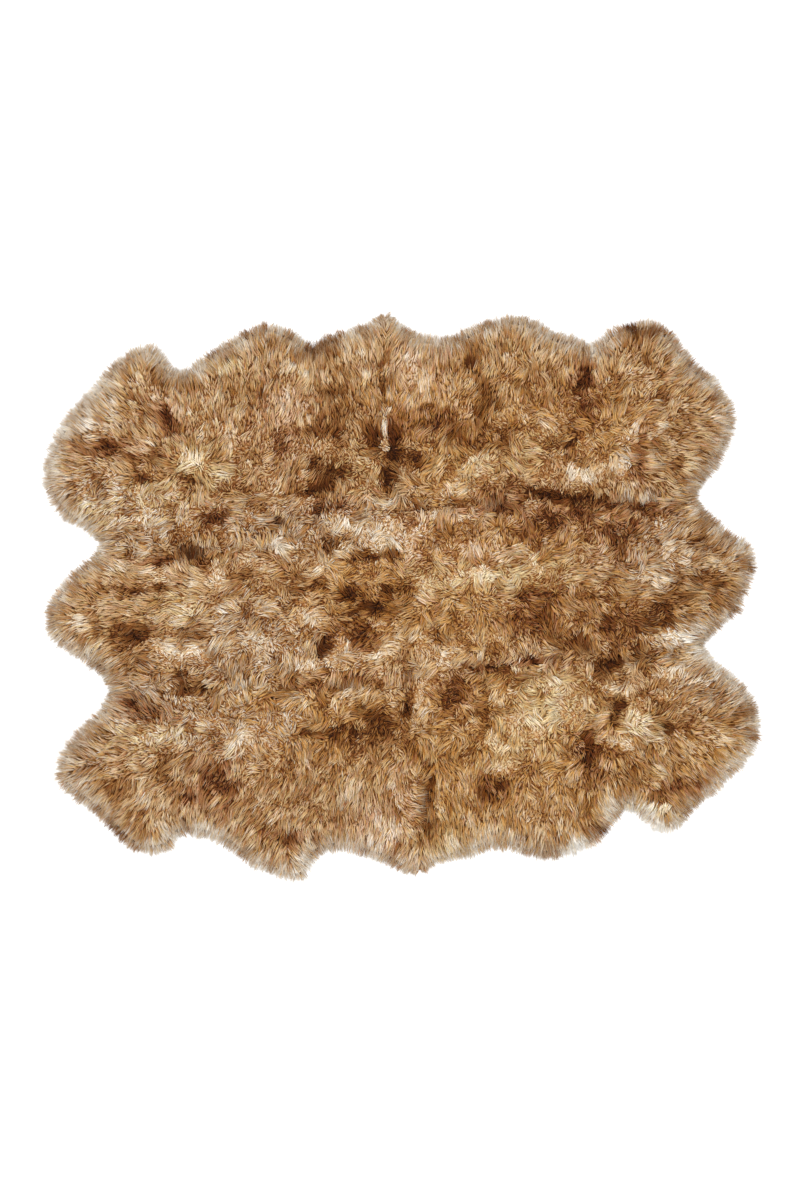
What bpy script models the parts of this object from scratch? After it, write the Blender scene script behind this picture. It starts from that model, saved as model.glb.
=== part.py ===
"""Sheepskin rug: six pelts sewn edge to edge, lying flat with the wool up.

Metres, +Z up, +X to the right and +Y to the back as the rug is seen from above.
Each pelt is one closed solid of its hide and the wool grown on it: a flat
hide, a lumpy slab of wool over it, and tapered locks along its free rim.
"""

import math
import random
from collections import namedtuple

import bmesh
import bpy
import numpy as np
from mathutils import Vector, noise
from mathutils.geometry import delaunay_2d_cdt

# Heights above the floor
FOLD_HEIGHT = 0.007
WALL_HEIGHT = 0.026
CROWN_HEIGHT = 0.047
SEAM_DIP = 0.013
SWELL_HEIGHT = 0.005
TUFT_HEIGHT = 0.008

# Widths over which the wool rises from the rim and dips to a seam
RIM_ROUNDING = 0.070
SEAM_ROUNDING = 0.050
SWELL_SIZE = 0.200
TUFT_SIZE = 0.080
SWELL_LAYER = 0.3
TUFT_LAYER = 5.7
RIM_LUMP_SHARE = 0.25

# How far the slab and the hide stay inside the reach of the locks
SLAB_INSET = 0.023
HIDE_INSET = 0.034
CORNER_INSET = 0.002
INSET_RUN_OUT = 0.045
SEAM_GAP = 0.0003

# Steps of the mesh along the outline and over the wool
RIM_STEP = 0.0255
SEAM_STEP = 0.030
WOOL_STEP = 0.0265
SHOULDER_INSET = 0.021
EDGE_CLEARANCE = 0.016
SCATTER_STRAY = 0.15
MERGE_DISTANCE = 1e-7
CURVE_SAMPLES = 12

# Locks along the rim
LOCK_LENGTH = 0.024
LOCK_VARIATION = 0.006
LOCK_SHORTEST = 0.008
LOCK_CLEARANCE = 0.004
LOCK_BEND = 0.55
LOCK_TAPER = 0.68
LOCK_DROOP = 0.007
LOCK_BEND_DROOP = 0.35
LOCK_LEAN = 0.35
LOCK_SHRINK = 0.85
LOCK_TRIALS = 8
NEIGHBOUR_REACH = 0.080

RANDOM_SEED = 41
# The triangulation's output that keeps only what lies inside the outline
INSIDE_ONLY = 1

# The free rims, clockwise as seen from above, between the seam ends that the
# pelts share. x and y say how far the wool reaches.
RimPoint = namedtuple("RimPoint", "x y form")

RIMS = {
    "back_left": (
        RimPoint(-0.765, 0.140, "side notch"),
        RimPoint(-0.880, 0.210, "neck"),
        RimPoint(-0.928, 0.312, "side"),
        RimPoint(-0.884, 0.450, "side"),
        RimPoint(-0.783, 0.565, "shoulder"),
        RimPoint(-0.726, 0.630, "shoulder"),
        RimPoint(-0.636, 0.660, "leg stub"),
        RimPoint(-0.571, 0.591, "dip"),
        RimPoint(-0.504, 0.638, "flank"),
        RimPoint(-0.422, 0.684, "flank"),
        RimPoint(-0.350, 0.715, "flank"),
        RimPoint(-0.268, 0.688, "flap"),
        RimPoint(-0.238, 0.658, "dip"),
        RimPoint(-0.195, 0.678, "rump"),
        RimPoint(-0.086, 0.722, "rump"),
        RimPoint(-0.040, 0.727, "seam end"),
    ),
    "back_right": (
        RimPoint(-0.040, 0.727, "seam end"),
        RimPoint(0.001, 0.720, "rump"),
        RimPoint(0.061, 0.686, "dip"),
        RimPoint(0.125, 0.682, "dip"),
        RimPoint(0.228, 0.725, "flank"),
        RimPoint(0.293, 0.733, "flank"),
        RimPoint(0.357, 0.717, "flank"),
        RimPoint(0.399, 0.689, "flank"),
        RimPoint(0.448, 0.679, "flank"),
        RimPoint(0.494, 0.658, "notch"),
        RimPoint(0.530, 0.698, "leg stub"),
        RimPoint(0.636, 0.722, "leg stub"),
        RimPoint(0.690, 0.700, "shoulder"),
        RimPoint(0.762, 0.611, "shoulder"),
        RimPoint(0.817, 0.562, "shoulder"),
        RimPoint(0.857, 0.505, "side"),
        RimPoint(0.863, 0.440, "side"),
        RimPoint(0.814, 0.323, "neck"),
        RimPoint(0.749, 0.268, "side notch"),
    ),
    "middle_right": (
        RimPoint(0.749, 0.268, "side notch"),
        RimPoint(0.827, 0.201, "shoulder"),
        RimPoint(0.860, 0.170, "shoulder"),
        RimPoint(0.897, 0.155, "side"),
        RimPoint(0.921, 0.092, "side"),
        RimPoint(0.892, 0.000, "side"),
        RimPoint(0.863, -0.052, "neck"),
        RimPoint(0.768, -0.121, "side notch"),
    ),
    "front_right": (
        RimPoint(0.768, -0.121, "side notch"),
        RimPoint(0.868, -0.196, "side"),
        RimPoint(0.915, -0.262, "side"),
        RimPoint(0.930, -0.333, "side"),
        RimPoint(0.912, -0.402, "side"),
        RimPoint(0.809, -0.506, "shoulder"),
        RimPoint(0.757, -0.548, "shoulder"),
        RimPoint(0.724, -0.593, "leg stub"),
        RimPoint(0.680, -0.612, "leg stub"),
        RimPoint(0.636, -0.593, "leg stub"),
        RimPoint(0.587, -0.547, "dip"),
        RimPoint(0.555, -0.580, "flank"),
        RimPoint(0.520, -0.625, "flank"),
        RimPoint(0.462, -0.658, "flank"),
        RimPoint(0.370, -0.676, "flank"),
        RimPoint(0.259, -0.650, "dip"),
        RimPoint(0.164, -0.671, "rump"),
        RimPoint(0.094, -0.694, "rump"),
        RimPoint(0.048, -0.700, "seam end"),
    ),
    "front_left": (
        RimPoint(0.048, -0.700, "seam end"),
        RimPoint(0.009, -0.715, "rump"),
        RimPoint(-0.043, -0.686, "rump"),
        RimPoint(-0.107, -0.666, "rump"),
        RimPoint(-0.182, -0.655, "dip"),
        RimPoint(-0.220, -0.680, "leg stub"),
        RimPoint(-0.238, -0.725, "leg stub"),
        RimPoint(-0.288, -0.732, "leg stub"),
        RimPoint(-0.396, -0.689, "flank"),
        RimPoint(-0.460, -0.640, "flank"),
        RimPoint(-0.556, -0.612, "dip"),
        RimPoint(-0.580, -0.643, "leg stub"),
        RimPoint(-0.636, -0.663, "leg stub"),
        RimPoint(-0.705, -0.642, "shoulder"),
        RimPoint(-0.783, -0.565, "shoulder"),
        RimPoint(-0.881, -0.487, "side"),
        RimPoint(-0.897, -0.436, "side"),
        RimPoint(-0.855, -0.353, "neck"),
        RimPoint(-0.739, -0.237, "side notch"),
    ),
    "middle_left": (
        RimPoint(-0.739, -0.237, "side notch"),
        RimPoint(-0.799, -0.183, "neck"),
        RimPoint(-0.894, -0.119, "side"),
        RimPoint(-0.919, -0.068, "side"),
        RimPoint(-0.915, -0.010, "side"),
        RimPoint(-0.860, 0.065, "shoulder"),
        RimPoint(-0.822, 0.096, "shoulder"),
        RimPoint(-0.765, 0.140, "side notch"),
    ),
}

# The seams. The middle one runs from the back to the front. A row's run is the
# stretch that starts there, cut where a cross seam joins it. A cross seam runs
# from the middle one to the side.
SeamPoint = namedtuple("SeamPoint", "x y")
MiddlePoint = namedtuple("MiddlePoint", "x y run")

MIDDLE_SEAM = (
    MiddlePoint(-0.040, 0.727, "back"),
    MiddlePoint(-0.043, 0.565, "back"),
    MiddlePoint(-0.030, 0.410, "back"),
    MiddlePoint(-0.009, 0.307, "back"),
    MiddlePoint(0.004, 0.219, "between_back_joins"),
    MiddlePoint(0.006, 0.124, "centre"),
    MiddlePoint(0.012, -0.015, "centre"),
    MiddlePoint(0.006, -0.196, "between_front_joins"),
    MiddlePoint(0.007, -0.236, "front"),
    MiddlePoint(0.027, -0.320, "front"),
    MiddlePoint(0.048, -0.395, "front"),
    MiddlePoint(0.061, -0.493, "front"),
    MiddlePoint(0.058, -0.596, "front"),
    MiddlePoint(0.048, -0.700, "end"),
)

CROSS_SEAMS = {
    "back_right_cross": (
        SeamPoint(0.004, 0.219),
        SeamPoint(0.099, 0.237),
        SeamPoint(0.246, 0.240),
        SeamPoint(0.357, 0.255),
        SeamPoint(0.461, 0.263),
        SeamPoint(0.615, 0.253),
        SeamPoint(0.749, 0.268),
    ),
    "back_left_cross": (
        SeamPoint(0.006, 0.124),
        SeamPoint(-0.262, 0.124),
        SeamPoint(-0.507, 0.119),
        SeamPoint(-0.649, 0.126),
        SeamPoint(-0.765, 0.140),
    ),
    "front_right_cross": (
        SeamPoint(0.006, -0.196),
        SeamPoint(0.099, -0.191),
        SeamPoint(0.190, -0.175),
        SeamPoint(0.331, -0.168),
        SeamPoint(0.422, -0.157),
        SeamPoint(0.530, -0.160),
        SeamPoint(0.641, -0.150),
        SeamPoint(0.768, -0.121),
    ),
    "front_left_cross": (
        SeamPoint(0.007, -0.236),
        SeamPoint(-0.262, -0.219),
        SeamPoint(-0.502, -0.232),
        SeamPoint(-0.623, -0.240),
        SeamPoint(-0.739, -0.237),
    ),
}

# Each pelt's outline goes clockwise: its rim, then these seams. A seam that
# is walked against its own direction is turned round.
SeamWalk = namedtuple("SeamWalk", "seam turned")
Pelt = namedtuple("Pelt", "rim seams red green blue")

PELTS = (
    Pelt("back_left", (
        SeamWalk("back", False),
        SeamWalk("between_back_joins", False),
        SeamWalk("back_left_cross", False),
    ), 0.37, 0.22, 0.11),
    Pelt("back_right", (
        SeamWalk("back_right_cross", True),
        SeamWalk("back", True),
    ), 0.39, 0.23, 0.12),
    Pelt("middle_left", (
        SeamWalk("back_left_cross", True),
        SeamWalk("centre", False),
        SeamWalk("between_front_joins", False),
        SeamWalk("front_left_cross", False),
    ), 0.41, 0.25, 0.13),
    Pelt("middle_right", (
        SeamWalk("front_right_cross", True),
        SeamWalk("centre", True),
        SeamWalk("between_back_joins", True),
        SeamWalk("back_right_cross", False),
    ), 0.34, 0.19, 0.09),
    Pelt("front_left", (
        SeamWalk("front_left_cross", True),
        SeamWalk("front", False),
    ), 0.36, 0.21, 0.11),
    Pelt("front_right", (
        SeamWalk("front", True),
        SeamWalk("between_front_joins", True),
        SeamWalk("front_right_cross", False),
    ), 0.40, 0.24, 0.12),
)

# Hollows where the wool parts, and the tufts that stand up beside them
Lump = namedtuple("Lump", "x y radius height")

LUMPS = (
    Lump(-0.546, 0.132, 0.050, -0.014),
    Lump(-0.177, 0.144, 0.035, -0.012),
    Lump(-0.502, -0.232, 0.040, -0.012),
    Lump(-0.192, -0.119, 0.035, -0.010),
    Lump(-0.060, 0.395, 0.050, -0.010),
    Lump(0.040, 0.395, 0.045, -0.008),
    Lump(-0.205, 0.320, 0.040, -0.010),
    Lump(-0.460, 0.550, 0.030, -0.007),
    Lump(0.486, 0.261, 0.085, -0.010),
    Lump(0.530, -0.170, 0.050, -0.010),
    Lump(0.551, -0.273, 0.035, -0.012),
    Lump(0.649, -0.253, 0.028, -0.010),
    Lump(0.680, -0.325, 0.028, -0.010),
    Lump(0.610, -0.289, 0.040, 0.010),
    Lump(0.009, -0.265, 0.040, -0.010),
    Lump(-0.133, -0.351, 0.060, -0.006),
    Lump(-0.066, -0.305, 0.050, -0.005),
    Lump(0.475, 0.350, 0.050, 0.006),
    Lump(0.360, 0.410, 0.045, 0.005),
    Lump(-0.150, 0.185, 0.060, 0.006),
    Lump(-0.090, -0.130, 0.050, 0.006),
    Lump(-0.530, 0.345, 0.055, 0.005),
)


def smooth_line(rows):
    """Dense points on a smooth curve through the rows, and where each row is in them."""
    points = [np.array((row.x, row.y)) for row in rows]
    before = [2 * points[0] - points[1]] + points[:-2]
    after = points[2:] + [2 * points[-1] - points[-2]]
    line = []
    for first, start, end, last in zip(before, points[:-1], points[1:], after):
        for sample in range(CURVE_SAMPLES):
            t = sample / CURVE_SAMPLES
            line.append(0.5 * (
                2 * start
                + (end - first) * t
                + (2 * first - 5 * start + 4 * end - last) * t ** 2
                + (3 * start - first - 3 * end + last) * t ** 3))
    line.append(points[-1])
    row_places = [index * CURVE_SAMPLES for index in range(len(points))]
    return np.array(line), row_places


def evenly_spaced(line, step):
    """Points about one step apart along a dense line, with both of its ends."""
    lengths = np.linalg.norm(np.diff(line, axis=0), axis=1)
    travelled = np.concatenate(([0.0], np.cumsum(lengths)))
    count = max(1, round(travelled[-1] / step))
    stops = np.linspace(0.0, travelled[-1], count + 1)
    return np.column_stack([np.interp(stops, travelled, line[:, axis]) for axis in (0, 1)])


def seam_runs():
    """Every seam's points by name, so that both pelts along it use the same ones."""
    runs = {}
    line, places = smooth_line(MIDDLE_SEAM)
    first_row = 0
    for row, point in enumerate(MIDDLE_SEAM):
        if point.run != MIDDLE_SEAM[first_row].run:
            piece = line[places[first_row]:places[row] + 1]
            runs[MIDDLE_SEAM[first_row].run] = evenly_spaced(piece, SEAM_STEP)
            first_row = row
    for name, rows in CROSS_SEAMS.items():
        line, _ = smooth_line(rows)
        runs[name] = evenly_spaced(line, SEAM_STEP)
    return runs


def distance_to_line(points, line):
    """Distance of each point from an open line of straight pieces."""
    starts = line[:-1]
    steps = line[1:] - starts
    offsets = points[:, None, :] - starts[None, :, :]
    along = np.einsum("pse,se->ps", offsets, steps) / np.einsum("se,se->s", steps, steps)
    nearest = starts[None] + np.clip(along, 0.0, 1.0)[:, :, None] * steps[None]
    return np.linalg.norm(points[:, None, :] - nearest, axis=2).min(axis=1)


def inside_outline(points, outline):
    """Which points lie inside a closed outline, by counting its crossings."""
    inside = np.zeros(len(points), dtype=bool)
    for start, end in zip(outline, np.roll(outline, -1, axis=0)):
        spans = (start[1] > points[:, 1]) != (end[1] > points[:, 1])
        rise = end[1] - start[1]
        if rise == 0.0:
            continue
        crossing = start[0] + (points[:, 1] - start[1]) * (end[0] - start[0]) / rise
        inside ^= spans & (points[:, 0] < crossing)
    return inside


def rising(value):
    """Smooth step from 0 to 1."""
    value = np.clip(value, 0.0, 1.0)
    return value * value * (3.0 - 2.0 * value)


class Outline:
    """One pelt's outline: the reach of its wool, with which sides are seams."""

    def __init__(self, pelt, runs):
        rim_line, _ = smooth_line(RIMS[pelt.rim])
        self.rim = evenly_spaced(rim_line, RIM_STEP)
        self.rim_count = len(self.rim)
        corners = list(self.rim[:-1])
        for walk in pelt.seams:
            run = runs[walk.seam]
            corners.extend((run[::-1] if walk.turned else run)[:-1])
        self.points = np.array(corners)
        self.rim_run_in = self.run_in()

    def run_in(self):
        """How fully each rim point is inset: not at all at the seam ends, then more and more."""
        steps = np.linalg.norm(np.diff(self.rim, axis=0), axis=1)
        travelled = np.concatenate(([0.0], np.cumsum(steps)))
        from_end = np.minimum(travelled, travelled[-1] - travelled)
        return rising(from_end / INSET_RUN_OUT)

    def inset(self, distance):
        """The outline moved in: by the distance on the rim, by half the gap on a seam."""
        count = len(self.points)
        moved = np.empty_like(self.points)
        for index, point in enumerate(self.points):
            to_here = point - self.points[index - 1]
            to_next = self.points[(index + 1) % count] - point
            inward_before = np.array((to_here[1], -to_here[0])) / np.linalg.norm(to_here)
            inward_after = np.array((to_next[1], -to_next[0])) / np.linalg.norm(to_next)
            on_rim_before = 0 < index <= self.rim_count - 1
            on_rim_after = index < self.rim_count - 1
            run_in = self.rim_run_in[index] if index < self.rim_count else 0.0
            rim_inset = CORNER_INSET + (distance - CORNER_INSET) * run_in
            before = rim_inset if on_rim_before else SEAM_GAP / 2
            after = rim_inset if on_rim_after else SEAM_GAP / 2
            if before == after:
                middle = inward_before + inward_after
                moved[index] = point + before * 2 * middle / np.dot(middle, middle)
            else:
                sides = np.array((inward_before, inward_after))
                moved[index] = point + np.linalg.solve(sides, (before, after))
        return moved


def lumps_at(x, y):
    """Rise and fall of the wool from its broad swell, its tufts and its named lumps."""
    swell = noise.noise(Vector((x / SWELL_SIZE, y / SWELL_SIZE, SWELL_LAYER)))
    tufts = noise.noise(Vector((x / TUFT_SIZE, y / TUFT_SIZE, TUFT_LAYER)))
    height = SWELL_HEIGHT * swell + TUFT_HEIGHT * tufts
    for lump in LUMPS:
        apart = math.hypot(x - lump.x, y - lump.y) / lump.radius
        height += lump.height * math.exp(-apart * apart)
    return height


def wool_heights(points, rim, seams):
    """Height of the wool's surface over each point."""
    from_rim = distance_to_line(points, rim)
    from_seam = np.min([distance_to_line(points, seam) for seam in seams], axis=0)
    rise = np.sqrt(rising(from_rim / RIM_ROUNDING))
    dip = 1.0 - rising(from_seam / SEAM_ROUNDING)
    lumps = np.array([lumps_at(x, y) for x, y in points])
    height = WALL_HEIGHT + (CROWN_HEIGHT - WALL_HEIGHT) * rise
    lump_share = RIM_LUMP_SHARE + (1.0 - RIM_LUMP_SHARE) * rise
    return height - SEAM_DIP * dip * rise + lumps * lump_share


def clear_inside(points, outline, closed):
    """The points that lie inside an outline and clear of it."""
    points = points[inside_outline(points, outline)]
    return points[distance_to_line(points, closed) > EDGE_CLEARANCE]


def wool_points(outline, rim):
    """Free points of the wool's surface: a row along the shoulder, then an even scatter."""
    shoulder = []
    count = len(outline)
    for index in range(len(rim)):
        chord = outline[(index + 1) % count] - outline[index - 1]
        inward = np.array((chord[1], -chord[0])) / np.linalg.norm(chord)
        shoulder.append(outline[index] + SHOULDER_INSET * inward)
    row_height = WOOL_STEP * math.sqrt(3) / 2
    low = outline.min(axis=0)
    high = outline.max(axis=0)
    scatter = []
    for row in range(math.ceil((high[1] - low[1]) / row_height)):
        half_step = WOOL_STEP / 2 if row % 2 else 0.0
        for column in range(math.ceil((high[0] - low[0]) / WOOL_STEP)):
            stray = [random.uniform(-SCATTER_STRAY, SCATTER_STRAY) for _ in range(2)]
            place = np.array((column * WOOL_STEP + half_step, row * row_height))
            scatter.append(low + place + np.array(stray) * WOOL_STEP)
    closed = np.vstack((outline, outline[:1]))
    shoulder_row = []
    for point in clear_inside(np.array(shoulder), outline, closed):
        if not shoulder_row or math.dist(point, shoulder_row[-1]) > EDGE_CLEARANCE:
            shoulder_row.append(point)
    shoulder_row = np.array(shoulder_row)
    free = clear_inside(np.array(scatter), outline, closed)
    apart = np.linalg.norm(free[:, None, :] - shoulder_row[None, :, :], axis=2).min(axis=1)
    return np.vstack((shoulder_row, free[apart > EDGE_CLEARANCE]))


def add_ring(bm, ring, heights):
    """One ring of vertices around the pelt."""
    return [bm.verts.new((x, y, z)) for (x, y), z in zip(ring, heights)]


def add_wall(bm, lower, upper):
    """The faces between two rings."""
    faces = []
    for index, corner in enumerate(lower):
        following = (index + 1) % len(lower)
        faces.append(bm.faces.new((corner, lower[following], upper[following], upper[index])))
    return faces


def add_sheet(bm, border, free_points, free_heights):
    """Triangles that fill a ring, through the free points within it."""
    flat = [Vector(corner.co.xy) for corner in border] + [Vector(point) for point in free_points]
    edges = [(index, (index + 1) % len(border)) for index in range(len(border))]
    flat_out, _, triangles, origins, _, _ = delaunay_2d_cdt(flat, edges, [], INSIDE_ONLY, MERGE_DISTANCE)
    corners = []
    for place, origin in zip(flat_out, origins):
        if origin[0] < len(border):
            corners.append(border[origin[0]])
        else:
            corners.append(bm.verts.new((*place, free_heights[origin[0] - len(border)])))
    for triangle in triangles:
        bm.faces.new([corners[corner] for corner in triangle])


class Lock:
    """One lock in plan: it stands on a side of the slab, leans a little and tapers to a tip."""

    def __init__(self, start, end, run_in):
        self.start = start
        self.end = end
        side = end - start
        self.along = side / np.linalg.norm(side)
        self.outward = np.array((-self.along[1], self.along[0]))
        self.lean = random.uniform(-LOCK_LEAN, LOCK_LEAN)
        self.length = (LOCK_LENGTH + random.uniform(-LOCK_VARIATION, LOCK_VARIATION)) * run_in

    def heading(self):
        heading = self.outward + self.lean * self.along
        return heading / np.linalg.norm(heading)

    def root(self):
        return (self.start + self.end) / 2

    def plan(self):
        """Outline seen from above, with its root on the slab."""
        bend = self.root() + self.heading() * self.length * LOCK_BEND
        half_width = (self.end - self.start) / 2 * LOCK_TAPER
        tip = self.root() + self.heading() * self.length
        return np.array((self.start, bend - half_width, tip, bend + half_width, self.end))

    def draw_in(self):
        """Shorter and straighter, to make room."""
        self.lean *= LOCK_SHRINK
        self.length *= LOCK_SHRINK


def turns_left(first, second, third):
    """Twice the area of a triangle, positive where its corners go anticlockwise."""
    return (
        (second[0] - first[0]) * (third[1] - first[1])
        - (second[1] - first[1]) * (third[0] - first[0]))


def plans_meet(plan, other):
    """Whether two locks' plans cross or one reaches into the other."""
    if inside_outline(plan[1:-1], other).any():
        return True
    for start, end in zip(plan[:-1], plan[1:]):
        for other_start, other_end in zip(other[:-1], other[1:]):
            splits_other = (
                turns_left(start, end, other_start) * turns_left(start, end, other_end) < 0)
            is_split = (
                turns_left(other_start, other_end, start)
                * turns_left(other_start, other_end, end) < 0)
            if splits_other and is_split:
                return True
    return False


def fit_locks(outline, slab, other_reaches):
    """The locks of one rim, drawn in where they would meet each other or another pelt."""
    locks = []
    for index in range(outline.rim_count - 1):
        run_in = min(outline.rim_run_in[index], outline.rim_run_in[index + 1])
        locks.append(Lock(slab[index], slab[index + 1], run_in))
    for trial in range(LOCK_TRIALS):
        for index, lock in enumerate(locks):
            plan = lock.plan()
            tip = plan[2:3]
            crowded = inside_outline(tip, slab)[0]
            for reach in other_reaches:
                crowded |= distance_to_line(tip, reach)[0] < LOCK_CLEARANCE
                crowded |= inside_outline(tip, reach)[0]
            for other in locks:
                near = other is not lock and math.dist(other.root(), lock.root()) < NEIGHBOUR_REACH
                crowded |= near and plans_meet(plan, other.plan())
            if crowded and trial == LOCK_TRIALS - 1:
                lock.length = 0.0
            elif crowded:
                lock.draw_in()
    return locks


def grow_locks(bm, faces, locks):
    """Draws each long enough rim face out into a drooping, tapered lock."""
    growing = [(face, lock) for face, lock in zip(faces, locks) if lock.length > LOCK_SHORTEST]
    for face, lock in growing:
        out = Vector((*lock.heading(), 0.0)) * lock.length
        bent = bmesh.ops.extrude_discrete_faces(bm, faces=[face])["faces"][0]
        centre = bent.calc_center_median()
        root = Vector((*lock.root(), centre.z))
        middle = root + out * LOCK_BEND
        middle.z -= LOCK_DROOP * LOCK_BEND_DROOP
        for corner in bent.verts:
            corner.co = middle + (corner.co - centre) * LOCK_TAPER
        tip = bmesh.ops.poke(bm, faces=[bent])["verts"][0]
        tip.co = root + out
        tip.co.z -= LOCK_DROOP


def pelt_material(pelt):
    """Wool of the pelt's own brown."""
    material = bpy.data.materials.new(f"wool_{pelt.rim}")
    material.use_nodes = True
    shader = material.node_tree.nodes["Principled BSDF"]
    shader.inputs["Base Color"].default_value = (pelt.red, pelt.green, pelt.blue, 1.0)
    shader.inputs["Roughness"].default_value = 0.95
    shader.inputs["Metallic"].default_value = 0.0
    return material


def make_pelt(pelt, outline, other_reaches, seams, centre):
    """One pelt: hide, wall, wool and rim locks as one closed mesh."""
    hide = outline.inset(HIDE_INSET)
    slab = outline.inset(SLAB_INSET)
    rim = slab[:outline.rim_count]
    free_points = wool_points(slab, rim)
    seam_lines = list(seams.values())
    edge_heights = wool_heights(slab, rim, seam_lines)
    free_heights = wool_heights(free_points, rim, seam_lines)

    bm = bmesh.new()
    hide_ring = add_ring(bm, hide, np.zeros(len(hide)))
    fold_ring = add_ring(bm, slab, np.full(len(slab), FOLD_HEIGHT))
    edge_ring = add_ring(bm, slab, edge_heights)
    add_wall(bm, hide_ring, fold_ring)
    wall = add_wall(bm, fold_ring, edge_ring)
    add_sheet(bm, edge_ring, free_points, free_heights)
    add_sheet(bm, hide_ring, [], [])
    grow_locks(bm, wall, fit_locks(outline, slab, other_reaches))
    bmesh.ops.translate(bm, verts=bm.verts, vec=(-centre[0], -centre[1], 0.0))
    bmesh.ops.triangulate(bm, faces=bm.faces)
    bmesh.ops.recalc_face_normals(bm, faces=bm.faces)

    mesh = bpy.data.meshes.new(f"pelt_{pelt.rim}")
    bm.to_mesh(mesh)
    bm.free()
    mesh.materials.append(pelt_material(pelt))
    return bpy.data.objects.new(f"pelt_{pelt.rim}", mesh)


def main():
    """Clears the scene and makes the six pelts about the middle of the rug."""
    for old in list(bpy.data.objects):
        bpy.data.objects.remove(old)
    random.seed(RANDOM_SEED)
    seams = seam_runs()
    outlines = {pelt.rim: Outline(pelt, seams) for pelt in PELTS}
    all_points = np.vstack([outline.points for outline in outlines.values()])
    centre = (all_points.min(axis=0) + all_points.max(axis=0)) / 2
    for pelt in PELTS:
        others = [outline.points for name, outline in outlines.items() if name != pelt.rim]
        closed_others = [np.vstack((points, points[:1])) for points in others]
        rug_piece = make_pelt(pelt, outlines[pelt.rim], closed_others, seams, centre)
        bpy.context.scene.collection.objects.link(rug_piece)


main()
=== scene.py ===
"""Looks of the sheepskin rug: six long-wool pelts sewn edge to edge, on a pale floor.

Metres, +Z up, +X to the right and +Y to the back as the rug is seen from above.
Each pelt has a suede hide on the floor, a dense underwool over it, and tens of
thousands of fine curved wisps that lie in tufts, in the wool's own direction.
"""

import math
from collections import namedtuple

import bmesh
import bpy
import numpy as np
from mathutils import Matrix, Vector, noise
from mathutils.bvhtree import BVHTree
from mathutils.kdtree import KDTree


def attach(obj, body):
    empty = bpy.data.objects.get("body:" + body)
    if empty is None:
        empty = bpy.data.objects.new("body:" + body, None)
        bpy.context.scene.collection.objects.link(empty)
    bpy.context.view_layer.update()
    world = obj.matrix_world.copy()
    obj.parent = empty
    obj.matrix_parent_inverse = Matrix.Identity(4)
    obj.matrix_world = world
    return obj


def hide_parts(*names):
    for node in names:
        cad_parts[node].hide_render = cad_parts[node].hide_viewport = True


PELT_ROWS = ("back", "middle", "front")
PELT_SIDES = ("left", "right")

# The hide and the thread that joins it to its neighbours
HIDE_UNDERSIDE = 0.0006
HIDE_THICKNESS = 0.0024
HIDE_EDGE_BEVEL = 0.0008
HIDE_EDGE_SEGMENTS = 2
STITCH_STEP = 0.006
STITCH_REACH = 0.0035
STITCH_SLANT = 0.0022
STITCH_THICKNESS = 0.0010

# The underwool: how far it stays below the solid's wool, its lumps, and its bulge past
# the hide, which runs out towards the ends of the seams
GRID_STEP = 0.015
PILE_DEPTH = 0.013
EDGE_DROP = 0.011
UNDERWOOL_LUMPS = 0.004
UNDERWOOL_LUMP_SIZE = 0.028
BULGE = 0.006
BULGE_RUN_OUT = 0.045

WallLevel = namedtuple("WallLevel", "height bulge")
WALL_LEVELS = (
    WallLevel(0.0080, 0.70),
    WallLevel(0.0170, 1.00),
    WallLevel(0.0260, 0.75),
)

# Tolerances, and the height from which rays look down on the rug
SEAM_MATCH = 0.003
QUERY_INSET = 0.0015
FLAT_TOLERANCE = 1e-5
MERGE_DISTANCE = 1e-6
SMALLEST = 1e-9
SKY_HEIGHT = 0.3

# Where wisps grow: on what faces up, and on the wall at the rim
WALL_FACING = 0.35
UNDERCUT_FACING = 0.6
WALL_REACH = 0.020
SEAM_WALL_REACH = 0.004
WALL_APART = 10.0
RIM_DENSITY = 3.0
EDGE_DENSITY = 0.7
EDGE_WIDTH = 0.020

# Wisps: how many on the whole rug, their size, and how they gather into tufts
WISP_COUNT = 154000
TUFT_SPACING = 0.012
WISP_LENGTH = 0.040
TUFT_LENGTHS = (0.8, 1.15)
WISP_LENGTHS = (0.7, 1.2)
WISP_WIDTH = 0.0025
WISP_WIDTHS = (0.55, 1.45)
WISP_FLATNESS = 0.55
RISE_LIMIT = 0.019
RISE_VARIATION = 0.25
SMALLEST_RISE = 0.05
HIGHEST_WOOL = 0.0690
LOOSE_LEAN = 2.4
DRIFT_SIZE = 0.045
LEAST_LEAN = 0.50
LARGEST_LEAN = 0.95
WALL_RISE = (-0.15, 0.35)
ROOT_DEPTH = 0.002
TUFT_PULL = 0.20
TUFT_TURN = 7.0
TUFT_LEAN_VARIATION = 0.15
WISP_STRAY = 0.085
BACK_SHARE = 0.45
CURL = 0.20
ARCH_UP = 0.25
ARCH_OUT = 0.35
WIDEST_PLACE = 0.42
SIDE_NUDGE = 0.01
FLOOR_CLEARANCE = 0.0015

# Rim: wool turns outwards there, droops, is thinner and looser, and has pale ends. The underwool
# along it is painted paler, as painted light over the shaded groove between wall and top wisps
RIM_TURN_START = 0.080
RIM_TURN_FULL = 0.012
RIM_LEAN = 0.92
RIM_REACH = 0.037
REACH_VARIATION = (-0.007, 0.006)
SEAM_END_LOSS = 0.018
SEAM_END_WIDTH = 0.060
RIM_PALE_WIDTH = 0.032
RIM_PALE = 0.03
RIM_BASE_WIDTH = 0.022
RIM_GROOVE_PAINTED_LIGHT = 0.35
RIM_SMOOTHING = 0.045
LEAST_ALIKE = 0.5
RIM_THINNING = 0.40
RIM_NARROWING = 0.25
RIM_STRAY = 0.8
RIM_LOOSENING = 0.6
RIM_DROOP = 0.25
RIM_ARCH_LOSS = 0.7

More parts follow.
